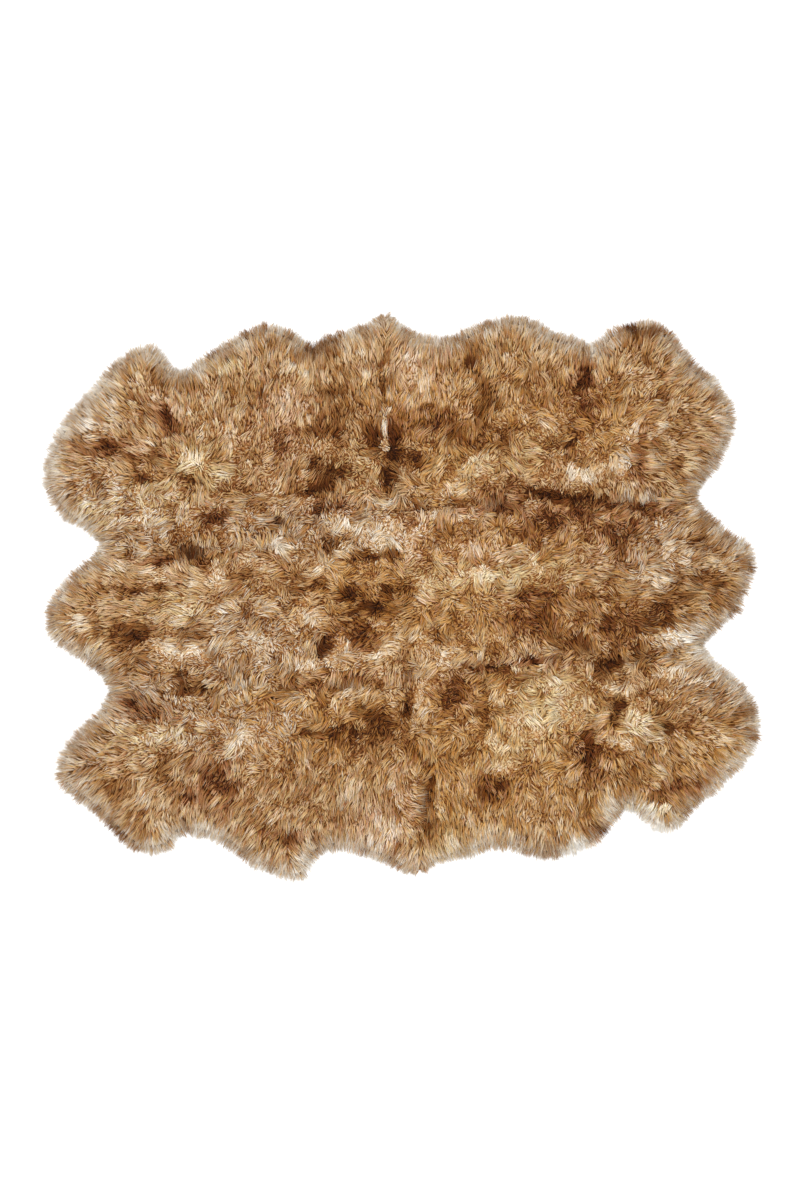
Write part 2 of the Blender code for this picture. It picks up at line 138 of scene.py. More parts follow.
# Tone: 0 is the darkest wool and 1 the palest
MIDDLE_TONE = 0.536
BROAD_TONE = 0.08
BROAD_TONE_SIZE = 0.110
FINE_TONE = 0.27
FINE_TONE_SIZE = 0.038
CLUMP_TONE = 0.20
CLUMP_TONE_SIZE = 0.018
TUFT_TONE = 0.04
WISP_TONE = 0.045
DARK_WISP_SHARE = 0.18
DARK_WISP_TONE = -0.16
TONE_WARP = 0.016
TONE_WARP_SIZE = 0.045
PALETTE_LOW = 0.02
PALETTE_HIGH = 0.98
PALETTE_STEP = 0.006
BAND_MARGIN = 0.04
SHOWN_SHARE = 0.20

# How far a stroke of the table below carries, and how the wool swirls about it
STROKE_REACH = 0.085
FAR_SHARE = 0.02
SWIRL_SIZE = 0.085
SWIRL_TURN = 28.0
RIPPLE_SIZE = 0.022
RIPPLE_TURN = 17.0
WHORL_LEAN = 0.75
WHORL_EYE = 0.5

# Layers of noise, one for each pattern, so that no two patterns are alike
BROAD_LAYER = 3.1
FINE_LAYER = 8.9
SWIRL_LAYER = 13.3
RIPPLE_LAYER = 17.9
WARP_LAYERS = (21.3, 34.7)
DRIFT_LAYERS = (41.9, 57.1)
CLUMP_LAYER = 63.7
RANDOM_SEED = 73

# Finishes
Finish = namedtuple("Finish", "roughness specular")
Grain = namedtuple("Grain", "scale detail")
Relief = namedtuple("Relief", "strength distance")

WOOL = Finish(0.72, 0.12)
SUEDE = Finish(0.92, 0.15)
THREAD = Finish(0.6, 0.4)
FLOOR = Finish(0.9, 0.1)
MATTED_FIBRES = Grain(210.0, 4.0)
MATTED_RELIEF = Relief(0.6, 0.003)
BLOTCHES = Grain(9.0, 5.0)
BLOTCH_SHARE = 0.85
NAP = Grain(420.0, 3.0)
NAP_SHARE = 0.25
NAP_RELIEF = Relief(0.5, 0.0006)
TWIST = Grain(900.0, 2.0)
TWIST_RELIEF = Relief(0.4, 0.0003)
CLOUDING = Grain(1.5, 2.0)
# The underwool is painted darker than the wisps: painted shade deep in the pile
UNDERWOOL_TONE = -0.80
UNDERWOOL_TONE_GAIN = 1.20
TONE_NAME = "wool_tone"
PALETTE_NAME = "OFBake"

# The colour sockets of a Mix node, whose names its other sockets have too
MIX_FIRST_COLOUR = 6
MIX_SECOND_COLOUR = 7
MIX_RESULT = 2


def rows_of(kind, *rows):
    """The rows of a table, with their columns named."""
    return [kind(*row) for row in rows]


# Which way the wool lies. Heading is in degrees from +X towards +Y, and lean goes
# from 0, upright, to 1, flat.
Stroke = namedtuple("Stroke", "x y heading lean")

STROKES = rows_of(
    Stroke,
    (-0.86, 0.30, 185, 0.75),
    (-0.86, 0.42, 160, 0.75),
    (-0.76, 0.52, 135, 0.80),
    (-0.65, 0.62, 110, 0.75),
    (-0.55, 0.50, 100, 0.80),
    (-0.42, 0.63, 95, 0.80),
    (-0.42, 0.48, 85, 0.80),
    (-0.25, 0.65, 90, 0.80),
    (-0.28, 0.50, 80, 0.80),
    (-0.12, 0.66, 88, 0.85),
    (-0.08, 0.48, 95, 0.80),
    (-0.20, 0.36, 60, 0.60),
    (-0.33, 0.28, 40, 0.70),
    (-0.45, 0.36, 30, 0.50),
    (-0.68, 0.38, 130, 0.75),
    (-0.80, 0.20, 215, 0.60),
    (-0.70, 0.23, 200, 0.30),
    (-0.57, 0.24, 240, 0.25),
    (-0.45, 0.20, 330, 0.50),
    (-0.20, 0.20, 45, 0.25),
    (-0.06, 0.28, 250, 0.50),
    (-0.05, 0.18, 0, 0.20),
    (-0.85, -0.06, 185, 0.85),
    (-0.78, 0.06, 160, 0.75),
    (-0.78, -0.15, 205, 0.75),
    (-0.62, 0.08, 165, 0.70),
    (-0.60, 0.00, 180, 0.70),
    (-0.55, -0.12, 190, 0.60),
    (-0.40, 0.05, 200, 0.60),
    (-0.35, -0.05, 190, 0.50),
    (-0.25, 0.04, 150, 0.50),
    (-0.25, -0.15, 230, 0.40),
    (-0.12, 0.06, 180, 0.70),
    (-0.10, -0.10, 200, 0.60),
    (-0.42, -0.18, 250, 0.40),
    (-0.05, -0.02, 180, 0.60),
    (-0.82, -0.44, 205, 0.80),
    (-0.74, -0.32, 165, 0.70),
    (-0.62, -0.27, 120, 0.60),
    (-0.70, -0.54, 230, 0.80),
    (-0.58, -0.58, 255, 0.80),
    (-0.50, -0.42, 235, 0.80),
    (-0.38, -0.33, 0, 0.20),
    (-0.35, -0.50, 240, 0.80),
    (-0.30, -0.66, 265, 0.80),
    (-0.20, -0.42, 260, 0.80),
    (-0.18, -0.58, 268, 0.80),
    (-0.05, -0.50, 270, 0.85),
    (-0.05, -0.66, 270, 0.80),
    (-0.12, -0.33, 200, 0.60),
    (-0.30, -0.26, 0, 0.25),
    (0.05, 0.66, 92, 0.80),
    (0.05, 0.50, 85, 0.80),
    (0.20, 0.62, 88, 0.80),
    (0.30, 0.70, 90, 0.80),
    (0.18, 0.46, 70, 0.75),
    (0.35, 0.56, 75, 0.70),
    (0.45, 0.62, 60, 0.60),
    (0.60, 0.66, 75, 0.75),
    (0.74, 0.58, 45, 0.80),
    (0.82, 0.45, 5, 0.85),
    (0.62, 0.50, 40, 0.60),
    (0.48, 0.48, 120, 0.50),
    (0.30, 0.38, 150, 0.60),
    (0.10, 0.33, 80, 0.50),
    (0.48, 0.31, 270, 0.80),
    (0.64, 0.32, 345, 0.80),
    (0.75, 0.35, 340, 0.80),
    (0.38, 0.36, 200, 0.50),
    (0.20, 0.28, 270, 0.50),
    (0.88, 0.08, 0, 0.85),
    (0.78, 0.16, 30, 0.75),
    (0.62, 0.16, 70, 0.60),
    (0.40, 0.17, 80, 0.60),
    (0.20, 0.18, 85, 0.60),
    (0.06, 0.17, 90, 0.60),
    (0.08, 0.04, 180, 0.60),
    (0.25, 0.06, 0, 0.60),
    (0.45, 0.08, 10, 0.60),
    (0.65, 0.02, 0, 0.75),
    (0.80, -0.06, 340, 0.80),
    (0.25, -0.08, 280, 0.70),
    (0.45, -0.08, 290, 0.70),
    (0.62, -0.10, 310, 0.60),
    (0.08, -0.12, 270, 0.60),
    (0.90, -0.33, 0, 0.85),
    (0.83, -0.45, 325, 0.80),
    (0.80, -0.24, 25, 0.75),
    (0.66, -0.20, 50, 0.60),
    (0.68, -0.56, 285, 0.80),
    (0.56, -0.56, 260, 0.80),
    (0.70, -0.42, 320, 0.70),
    (0.42, -0.60, 268, 0.80),
    (0.35, -0.45, 265, 0.70),
    (0.25, -0.60, 270, 0.80),
    (0.10, -0.62, 270, 0.85),
    (0.15, -0.45, 265, 0.75),
    (0.20, -0.30, 240, 0.50),
    (0.35, -0.33, 200, 0.30),
    (0.40, -0.24, 90, 0.40),
    (0.15, -0.22, 85, 0.50),
    (0.05, -0.32, 250, 0.40),
)

# Whorls, where the wool lies away from one place. Turn is in degrees: 0 is
# straight outwards, and 90 goes round the place.
Whorl = namedtuple("Whorl", "x y radius turn")

WHORLS = (
    Whorl(-0.533, 0.346, 0.090, 0),
    Whorl(-0.179, 0.144, 0.050, 70),
    Whorl(-0.195, -0.119, 0.050, 80),
    Whorl(0.610, -0.290, 0.070, 50),
)

# Patches of darker and paler wool: ellipses that fade out. Some dark ones are painted shade
# rather than darker wool: long narrow lines along the seams, the hollows round the raised tuft
# at the right, and the shaded fringe of the front left rim. Each row is the place of its middle,
# its half length and half width, and how many degrees it is turned, if any.
Patch = namedtuple("Patch", "x y length width turn", defaults=(0,))

# Blackish wool, and painted shade: the long narrow rows lie along the seams, and one lies in a hollow.
BLACKISH_AND_SHADE = rows_of(
    Patch,
    (-0.553, 0.120, 0.042, 0.022, -15),
    (-0.066, 0.412, 0.020, 0.050),
    (-0.012, 0.372, 0.020, 0.020),
    (0.400, 0.262, 0.085, 0.016, -10),
    (0.512, 0.246, 0.040, 0.012, -5),
    (-0.505, -0.232, 0.024, 0.010),
    (-0.075, -0.305, 0.040, 0.022, -15),
    (0.535, -0.165, 0.030, 0.016, 20),
    (-0.030, 0.310, 0.016, 0.034),
)

# Deep brown wool, and painted shade: narrow rows by the seams, and the hollows round the raised tuft
# near (0.61, -0.29).
DEEP_BROWN_AND_SHADE = rows_of(
    Patch,
    (-0.545, 0.300, 0.020, 0.008, -10),
    (-0.465, 0.572, 0.022, 0.007, -15),
    (-0.640, 0.022, 0.055, 0.007),
    (-0.670, 0.318, 0.022, 0.009, -30),
    (-0.700, 0.362, 0.020, 0.010, -20),
    (-0.213, 0.330, 0.014, 0.024),
    (-0.205, 0.288, 0.028, 0.014),
    (-0.235, 0.272, 0.032, 0.007),
    (-0.178, 0.330, 0.016, 0.013),
    (-0.190, 0.138, 0.024, 0.016, 20),
    (-0.085, 0.108, 0.060, 0.008),
    (-0.315, 0.200, 0.020, 0.012),
    (-0.030, 0.020, 0.030, 0.020),
    (-0.130, 0.012, 0.045, 0.016),
    (0.335, 0.282, 0.032, 0.014, -20),
    (0.580, 0.692, 0.030, 0.007, -8),
    (-0.690, -0.090, 0.045, 0.022),
    (-0.570, -0.190, 0.024, 0.010, -40),
    (-0.550, -0.230, 0.024, 0.008),
    (-0.140, -0.345, 0.110, 0.013, 3),
    (-0.195, -0.112, 0.014, 0.028, -10),
    (-0.080, -0.030, 0.070, 0.013, 5),
    (0.015, -0.285, 0.013, 0.020),
    (0.070, -0.508, 0.014, 0.030),
    (0.612, -0.140, 0.022, 0.030),
    (0.655, -0.065, 0.060, 0.022, 20),
    (0.558, -0.272, 0.017, 0.044, -10),
    (0.635, -0.252, 0.030, 0.006, -15),
    (0.678, -0.332, 0.008, 0.016),
    (-0.165, 0.325, 0.060, 0.024),
)

# Deep russet wool, and painted shade: the narrow rows along the seams.
DEEP_RUSSET_AND_SHADE = rows_of(
    Patch,
    (-0.470, 0.205, 0.022, 0.016),
    (-0.015, 0.430, 0.013, 0.030),
    (0.465, 0.560, 0.020, 0.042),
    (0.475, 0.495, 0.016, 0.028),
    (0.620, 0.233, 0.048, 0.012, -5),
    (0.350, 0.008, 0.045, 0.011),
    (0.250, -0.170, 0.075, 0.007, 8),
    (-0.300, -0.612, 0.034, 0.014),
    (0.350, -0.158, 0.045, 0.010, 5),
    (0.530, -0.595, 0.024, 0.014, 20),
    (-0.550, -0.503, 0.014, 0.012),
)

# Dark brown wool, and painted shade: narrow rows along the middle seam and the shaded fringe of the
# front rim.
DARK_BROWN_AND_SHADE = rows_of(
    Patch,
    (-0.390, 0.692, 0.040, 0.014, 15),
    (-0.200, 0.648, 0.040, 0.024, 30),
    (-0.150, 0.478, 0.028, 0.040),
    (-0.165, 0.530, 0.030, 0.026),
    (-0.048, 0.560, 0.008, 0.050),
    (-0.185, 0.430, 0.050, 0.018),
    (0.185, 0.620, 0.018, 0.034),
    (0.210, 0.505, 0.036, 0.036),
    (0.030, 0.352, 0.032, 0.022),
    (0.140, 0.415, 0.045, 0.018, -20),
    (0.250, 0.400, 0.020, 0.030),
    (0.055, 0.226, 0.048, 0.006, 8),
    (-0.245, 0.030, 0.050, 0.012),
    (0.645, 0.682, 0.045, 0.010, -5),
    (0.420, 0.400, 0.050, 0.012, 20),
    (0.765, 0.170, 0.028, 0.026),
    (0.790, 0.045, 0.060, 0.020),
    (0.530, 0.015, 0.060, 0.013),
    (-0.540, -0.090, 0.050, 0.010, -10),
    (-0.690, -0.160, 0.032, 0.026),
    (-0.735, -0.485, 0.026, 0.022),
    (-0.600, -0.430, 0.016, 0.040),
    (-0.790, -0.550, 0.060, 0.010, -42),
    (-0.725, -0.605, 0.050, 0.011, -40),
    (-0.065, -0.370, 0.045, 0.024),
    (-0.275, -0.215, 0.022, 0.026),
    (0.220, -0.295, 0.050, 0.008, 5),
    (0.065, -0.590, 0.012, 0.050),
    (-0.060, -0.680, 0.060, 0.008, -12),
    (0.430, -0.110, 0.060, 0.024),
    (0.690, -0.010, 0.070, 0.018, 22),
    (0.520, -0.445, 0.040, 0.016, -30),
)

DARK_RUSSET = rows_of(
    Patch,
    (-0.600, 0.462, 0.020, 0.036),
    (-0.745, 0.385, 0.055, 0.013),
    (-0.600, 0.094, 0.045, 0.008),
    (-0.300, 0.405, 0.022, 0.030),
    (0.075, 0.458, 0.070, 0.028, -5),
    (-0.190, 0.237, 0.045, 0.013),
    (0.265, 0.245, 0.042, 0.024),
    (0.610, 0.375, 0.016, 0.050),
    (0.375, 0.190, 0.045, 0.028),
    (0.555, 0.165, 0.045, 0.040),
    (0.465, 0.225, 0.045, 0.016),
    (-0.668, -0.282, 0.042, 0.022, -20),
    (-0.475, -0.475, 0.034, 0.042),
    (-0.110, -0.092, 0.040, 0.028),
    (-0.170, -0.213, 0.080, 0.011, 3),
    (0.140, -0.232, 0.036, 0.036),
    (0.240, -0.485, 0.036, 0.030),
    (0.345, -0.045, 0.050, 0.036),
    (0.540, -0.060, 0.045, 0.032),
    (0.485, -0.395, 0.028, 0.050),
    (0.760, -0.470, 0.036, 0.016, 25),
    (0.690, -0.490, 0.050, 0.011, 5),
)

PALE_BROWN = rows_of(
    Patch,
    (-0.700, 0.198, 0.038, 0.016),
    (-0.660, 0.075, 0.080, 0.012),
    (-0.100, 0.635, 0.050, 0.022),
    (-0.225, 0.083, 0.030, 0.026),
    (0.700, 0.120, 0.028, 0.026),
    (0.650, 0.050, 0.042, 0.016),
    (-0.850, -0.060, 0.030, 0.020),
    (-0.480, -0.118, 0.055, 0.024),
    (-0.360, -0.115, 0.034, 0.024),
    (-0.600, -0.555, 0.020, 0.032),
    (-0.020, -0.110, 0.070, 0.020, 65),
    (0.135, -0.148, 0.036, 0.026),
    (-0.125, -0.240, 0.045, 0.012),
    (0.225, -0.600, 0.034, 0.030),
    (-0.225, -0.040, 0.050, 0.026),
    (0.770, -0.150, 0.042, 0.020, -30),
    (0.340, -0.565, 0.018, 0.036),
)

PALE_GOLDEN = rows_of(
    Patch,
    (-0.640, 0.250, 0.055, 0.030),
    (-0.790, 0.225, 0.030, 0.030),
    (0.195, 0.350, 0.036, 0.022),
    (-0.105, 0.330, 0.030, 0.026),
    (0.080, 0.040, 0.032, 0.022),
    (0.335, 0.378, 0.040, 0.018, 35),
    (0.345, 0.080, 0.050, 0.024),
    (-0.580, -0.030, 0.036, 0.024),
    (-0.640, -0.360, 0.040, 0.014),
    (-0.640, -0.335, 0.060, 0.010),
    (0.105, -0.630, 0.036, 0.034),
    (0.420, -0.290, 0.050, 0.026),
    (0.650, -0.540, 0.050, 0.012, -15),
)

PALE_RUSSET = rows_of(
    Patch,
    (-0.295, 0.480, 0.036, 0.036),
    (0.050, 0.588, 0.050, 0.038),
    (0.100, 0.213, 0.080, 0.010, 5),
    (0.030, 0.135, 0.020, 0.030),
    (0.220, 0.122, 0.060, 0.020),
    (0.020, -0.508, 0.026, 0.040),
    (-0.060, -0.595, 0.050, 0.036),
    (0.010, -0.682, 0.036, 0.016),
)

PALE_GREY = rows_of(
    Patch,
    (-0.790, 0.458, 0.040, 0.022, 20),
    (-0.880, 0.410, 0.014, 0.050, -25),
    (-0.830, 0.515, 0.110, 0.020, 47),
    (-0.400, -0.328, 0.040, 0.028),
    (-0.285, -0.315, 0.020, 0.042),
    (0.830, -0.440, 0.050, 0.011, 45),
)

CREAM = rows_of(
    Patch,
    (-0.500, 0.045, 0.045, 0.022),
    (-0.130, 0.182, 0.040, 0.014),
    (-0.305, 0.138, 0.040, 0.014),
    (-0.050, 0.165, 0.035, 0.034),
    (-0.152, 0.122, 0.010, 0.020, -20),
    (0.460, 0.312, 0.040, 0.018),
    (0.512, 0.338, 0.022, 0.012),
    (0.585, 0.423, 0.026, 0.006, 40),
    (0.670, 0.430, 0.030, 0.007, 45),
    (-0.560, -0.130, 0.060, 0.014),
    (-0.580, -0.173, 0.018, 0.010),
    (-0.415, -0.370, 0.036, 0.018),
    (-0.215, -0.166, 0.050, 0.013, 5),
    (-0.080, -0.140, 0.034, 0.008, 10),
    (0.050, -0.258, 0.016, 0.050, -15),
    (0.690, -0.192, 0.034, 0.012),
    (0.560, -0.225, 0.032, 0.010),
    (0.575, -0.372, 0.030, 0.012, -20),
    (0.535, -0.520, 0.016, 0.040, -10),
)

CREAM_GOLDEN = rows_of(
    Patch,
    (-0.545, 0.355, 0.030, 0.034),
    (-0.485, 0.325, 0.034, 0.020),
    (-0.445, 0.592, 0.026, 0.009, 10),
    (0.200, 0.055, 0.090, 0.022),
    (0.250, -0.372, 0.036, 0.016),
    (0.270, -0.420, 0.030, 0.013, 20),
    (0.390, -0.235, 0.050, 0.026),
    (0.325, -0.328, 0.050, 0.044),
    (0.600, -0.310, 0.034, 0.026),
)

CREAM_GREY = rows_of(
    Patch,
    (-0.038, 0.455, 0.008, 0.048),
    (0.572, 0.343, 0.010, 0.022),
    (-0.145, -0.112, 0.010, 0.024, 20),
    (0.700, -0.092, 0.050, 0.018, 10),
    (0.660, -0.585, 0.042, 0.014, -10),
    (0.450, -0.635, 0.032, 0.012, 20),
)

# Wide zones with more ginger or grey wool, neither darker nor paler than the rest
GINGER_ZONES = rows_of(
    Patch,
    (0.165, -0.470, 0.095, 0.105),
    (0.150, -0.250, 0.070, 0.060),
    (0.150, 0.480, 0.120, 0.070),
    (0.510, 0.450, 0.060, 0.055),
    (0.260, 0.140, 0.140, 0.035),
    (0.220, -0.040, 0.260, 0.050),
    (0.420, -0.430, 0.110, 0.085),
    (0.790, -0.430, 0.090, 0.045, 15),
    (-0.110, 0.010, 0.070, 0.080),
    (-0.210, -0.300, 0.110, 0.060),
    (0.110, 0.330, 0.035, 0.060),
)

GREY_ZONES = rows_of(
    Patch,
    (-0.740, 0.215, 0.110, 0.050, -15),
    (-0.850, -0.440, 0.035, 0.110),
    (-0.680, -0.270, 0.120, 0.050, -20),
    (0.690, 0.130, 0.070, 0.050),
    (0.780, -0.160, 0.070, 0.045, -40),
    (-0.180, 0.180, 0.130, 0.035),
    (-0.400, -0.110, 0.110, 0.050),
)

PatchGroup = namedtuple("PatchGroup", "tone hue patches")

PATCH_GROUPS = (
    PatchGroup(-0.54, "brown", BLACKISH_AND_SHADE),
    PatchGroup(-0.44, "brown", DEEP_BROWN_AND_SHADE),
    PatchGroup(-0.44, "russet", DEEP_RUSSET_AND_SHADE),
    PatchGroup(-0.30, "brown", DARK_BROWN_AND_SHADE),
    PatchGroup(-0.30, "russet", DARK_RUSSET),
    PatchGroup(0.22, "brown", PALE_BROWN),
    PatchGroup(0.22, "golden", PALE_GOLDEN),
    PatchGroup(0.22, "russet", PALE_RUSSET),
    PatchGroup(0.22, "grey", PALE_GREY),
    PatchGroup(0.36, "brown", CREAM),
    PatchGroup(0.31, "golden", CREAM_GOLDEN),
    PatchGroup(0.39, "grey", CREAM_GREY),
    PatchGroup(0.0, "ginger", GINGER_ZONES),
    PatchGroup(0.0, "grey", GREY_ZONES),
)

# The five families of colour, each from its darkest wool to its palest, and how
# common each is where no patch says otherwise
Shade = namedtuple("Shade", "place red green blue")
Family = namedtuple("Family", "name share shades")

FAMILIES = (
    Family("brown", 1.00, (
        Shade(0.00, 50, 22, 5),
        Shade(0.25, 110, 60, 20),
        Shade(0.50, 170, 121, 70),
        Shade(0.75, 212, 181, 138),
        Shade(1.00, 238, 225, 204),
    )),
    Family("golden", 0.22, (
        Shade(0.00, 54, 28, 5),
        Shade(0.25, 116, 72, 24),
        Shade(0.50, 177, 137, 81),
        Shade(0.75, 213, 186, 134),
        Shade(1.00, 235, 220, 182),
    )),
    Family("russet", 0.30, (
        Shade(0.00, 54, 20, 6),
        Shade(0.25, 114, 58, 24),
        Shade(0.50, 170, 116, 76),
        Shade(0.75, 212, 174, 140),
        Shade(1.00, 240, 224, 206),
    )),
    Family("ginger", 0.15, (
        Shade(0.00, 56, 24, 4),
        Shade(0.25, 118, 64, 14),
        Shade(0.50, 173, 119, 57),
        Shade(0.75, 208, 162, 98),
        Shade(1.00, 232, 204, 160),
    )),
    Family("grey", 0.04, (
        Shade(0.00, 54, 32, 18),
        Shade(0.25, 115, 79, 50),
        Shade(0.50, 171, 140, 108),
        Shade(0.75, 212, 197, 177),
        Shade(1.00, 244, 238, 228),
    )),
)

# How sharply patches end, how far their tone and their colour spread, how much grey the rim
# has, partly its greyish wool and partly painted shade of its loose fringe, and how much darker
# a wisp is painted at its root than at its tip, as painted shade deep in the pile
PATCH_EDGE = 1.4
TONE_PATCH_SPREAD = 1.2
HUE_PATCH_SHARE = 1.8
HUE_PATCH_SPREAD = 1.8
RIM_GREY_AND_SHADE_SHARE = 5.0
ROOT_SHADE_GAIN = 0.40
TIP_BALANCE = 0.45

SUEDE_SHADES = (
    Shade(0.25, 196, 172, 138),
    Shade(0.50, 218, 198, 166),
    Shade(0.75, 232, 216, 190),
)
THREAD_SHADES = (
    Shade(0.30, 170, 150, 118),
    Shade(0.50, 206, 190, 160),
    Shade(0.70, 226, 214, 190),
)
FLOOR_SHADES = (
    Shade(0.30, 246, 246, 245),
    Shade(0.50, 248, 248, 248),
    Shade(0.70, 250, 250, 250),
)

# The photo's size and the place of the rug's origin in it, in pixels, and the size of a
# pixel on the floor
PHOTO_WIDTH = 806
PHOTO_HEIGHT = 1200
RUG_PIXEL_X = 401.5
RUG_PIXEL_Y = 599.0
PHOTO_STEP = 0.00258

# Camera, floor and light
CAMERA_HEIGHT = 6.0
SENSOR_WIDTH = 36.0
FLOOR_SIZE = 12.0
SKY_COLOUR = (1.0, 1.0, 1.0, 1.0)
SKY_STRENGTH = 1.15
KEY_ENERGY = 360.0
KEY_SIZE = 5.0
KEY_PLACE = (-0.6, 0.4, 6.4)


def rising(value):
    """Smooth step from 0 to 1."""
    value = np.clip(value, 0.0, 1.0)
    return value * value * (3.0 - 2.0 * value)


def unit(vectors):
    """Rows scaled to length 1."""
    return vectors / np.maximum(np.linalg.norm(vectors, axis=-1, keepdims=True), SMALLEST)


def noise_at(places, size, layer):
    """Smooth noise at flat places, from about -1 to 1."""
    return np.array([noise.noise(Vector((x / size, y / size, layer))) for x, y in places])


def laid_flat(points):
    """Points dropped to the floor."""
    return points * (1.0, 1.0, 0.0)


def turned(vectors, degrees):
    """Flat vectors turned anticlockwise by one angle, or each by its own."""
    angle = np.radians(degrees)
    x = vectors[:, 0] * np.cos(angle) - vectors[:, 1] * np.sin(angle)
    y = vectors[:, 0] * np.sin(angle) + vectors[:, 1] * np.cos(angle)
    return np.column_stack((x, y))


def linear(channel):
    """A display colour channel from 0 to 255, as linear light."""
    value = channel / 255
    return value / 12.92 if value <= 0.04045 else ((value + 0.055) / 1.055) ** 2.4


def array_mesh(name, points, triangles):
    """A smooth-shaded mesh from arrays of points and triangles."""
    mesh = bpy.data.meshes.new(name)
    mesh.vertices.add(len(points))
    mesh.vertices.foreach_set("co", points.astype(np.float32).ravel())
    mesh.loops.add(triangles.size)
    mesh.loops.foreach_set("vertex_index", triangles.astype(np.int32).ravel())
    mesh.polygons.add(len(triangles))
    mesh.polygons.foreach_set("loop_start", np.arange(0, triangles.size, 3, dtype=np.int32))
    mesh.update(calc_edges=True)
    mesh.shade_smooth()
    return mesh


def finished_mesh(bm, name):
    """A closed mesh of triangles that face outwards, listed in the same order on each run."""
    bmesh.ops.triangulate(bm, faces=bm.faces)
    bmesh.ops.recalc_face_normals(bm, faces=bm.faces)
    bm.verts.index_update()
    points = np.array([corner.co for corner in bm.verts])
    triangles = np.array([[corner.index for corner in face.verts] for face in bm.faces])
    bm.free()
    order = (triangles.argmin(axis=1)[:, None] + (0, 1, 2)) % 3
    triangles = np.take_along_axis(triangles, order, axis=1)
    triangles = triangles[np.lexsort(triangles.T[::-1])]
    return array_mesh(name, points, triangles)


def add_piece(name, mesh, material):
    """A piece of the rug with one material."""
    mesh.materials.append(material)
    piece = bpy.data.objects.new(name, mesh)
    bpy.context.scene.collection.objects.link(piece)
    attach(piece, "root")
    return piece


class Nearest:
    """Finds the nearest of some points."""

    def __init__(self, points):
        self.tree = KDTree(len(points))
        for index, point in enumerate(points):
            self.tree.insert(Vector(point).to_3d(), index)
        self.tree.balance()

    def find(self, places):
        """Index and distance of the point nearest to each place."""
        found = [self.tree.find(Vector(place).to_3d()) for place in places]
        return np.array([hit[1] for hit in found]), np.array([hit[2] for hit in found])


class Base:
    """The flat underside of one pelt's solid: its sheet, a grid cut in it, and its border."""

    def __init__(self, node):
        self.name = node
        solid = bmesh.new()
        solid.from_mesh(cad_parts[node].data)
        bmesh.ops.remove_doubles(solid, verts=solid.verts, dist=MERGE_DISTANCE)
        self.surface = BVHTree.FromBMesh(solid)
        upper = [face for face in solid.faces if max(v.co.z for v in face.verts) > FLAT_TOLERANCE]
        bmesh.ops.delete(solid, geom=upper, context="FACES")
        bmesh.ops.reverse_faces(solid, faces=solid.faces)
        self.sheet = solid
        self.grid = solid.copy()
        self.cut_grid()
        self.number = self.grid.verts.layers.int.new("border_number")
        border = self.walk_border()
        for number, corner in enumerate(border, start=1):
            corner[self.number] = number
        self.ring = np.array([corner.co for corner in border])
        self.outward = self.outward_normals()

    def cut_grid(self):
        """Cuts the grid's sheet along even lines both ways."""
        corners = np.array([v.co for v in self.grid.verts])
        for axis in (0, 1):
            across = Vector((1.0 - axis, axis, 0.0))
            first = math.ceil(corners[:, axis].min() / GRID_STEP)
            last = math.floor(corners[:, axis].max() / GRID_STEP)
            for line in range(first, last + 1):
                everything = self.grid.verts[:] + self.grid.edges[:] + self.grid.faces[:]
                bmesh.ops.bisect_plane(
                    self.grid, geom=everything, dist=MERGE_DISTANCE,
                    plane_co=across * line * GRID_STEP, plane_no=across)

    def walk_border(self):
        """The grid's border, anticlockwise."""
        following = {}
        for edge in self.grid.edges:
            if edge.is_boundary:
                loop = edge.link_loops[0]
                following[loop.vert] = loop.link_loop_next.vert
        start = min(following, key=lambda corner: corner.co.x)
        border = [start]
        while following[border[-1]] is not start:
            border.append(following[border[-1]])
        return border

    def outward_normals(self):
        """Flat outward direction at each border point."""
        ring = self.ring[:, :2]
        before = unit(ring - np.roll(ring, 1, axis=0))
        after = unit(np.roll(ring, -1, axis=0) - ring)
        along = before + after
        return unit(np.column_stack((along[:, 1], -along[:, 0])))

    def find_seams(self, bases):
        """Marks where another pelt meets the border, and sets the bulge past the hide elsewhere."""
        others = [base for base in bases if base is not self]
        meeting = np.vstack([base.ring for base in others])
        owners = np.concatenate([[bases.index(base)] * len(base.ring) for base in others])
        index, apart = Nearest(meeting).find(self.ring)
        self.on_seam = apart < SEAM_MATCH
        self.neighbour = owners[index]
        self.seam = Nearest(self.ring[self.on_seam])
        to_seam = self.seam.find(self.ring)[1]
        self.bulge = BULGE * rising(to_seam / BULGE_RUN_OUT)
        free = ~self.on_seam
        self.rim_line = self.ring[free, :2] + self.outward[free] * self.bulge[free, None]
        self.rim_outward = self.outward[free]
        self.rim = Nearest(self.rim_line)

    def wool_height(self, place):
        """Height of the solid's wool over a flat place."""
        above = Vector((place[0], place[1], SKY_HEIGHT))
        hit = self.surface.ray_cast(above, Vector((0.0, 0.0, -1.0)))[0]
        return (hit or self.surface.find_nearest(above)[0]).z


def smooth_rims(bases):
    """Evens out the ways that the rims face, also from one pelt to the next."""
    places = np.vstack([base.rim_line for base in bases])
    facing = np.vstack([base.rim_outward for base in bases])
    for base in bases:
        apart = np.linalg.norm(base.rim_line[:, None] - places[None], axis=2)
        alike = np.clip(base.rim_outward @ facing.T + LEAST_ALIKE, 0.0, 1.0)
        weights = np.exp(-(apart / RIM_SMOOTHING) ** 2) * alike
        base.rim_outward = unit(weights @ facing)


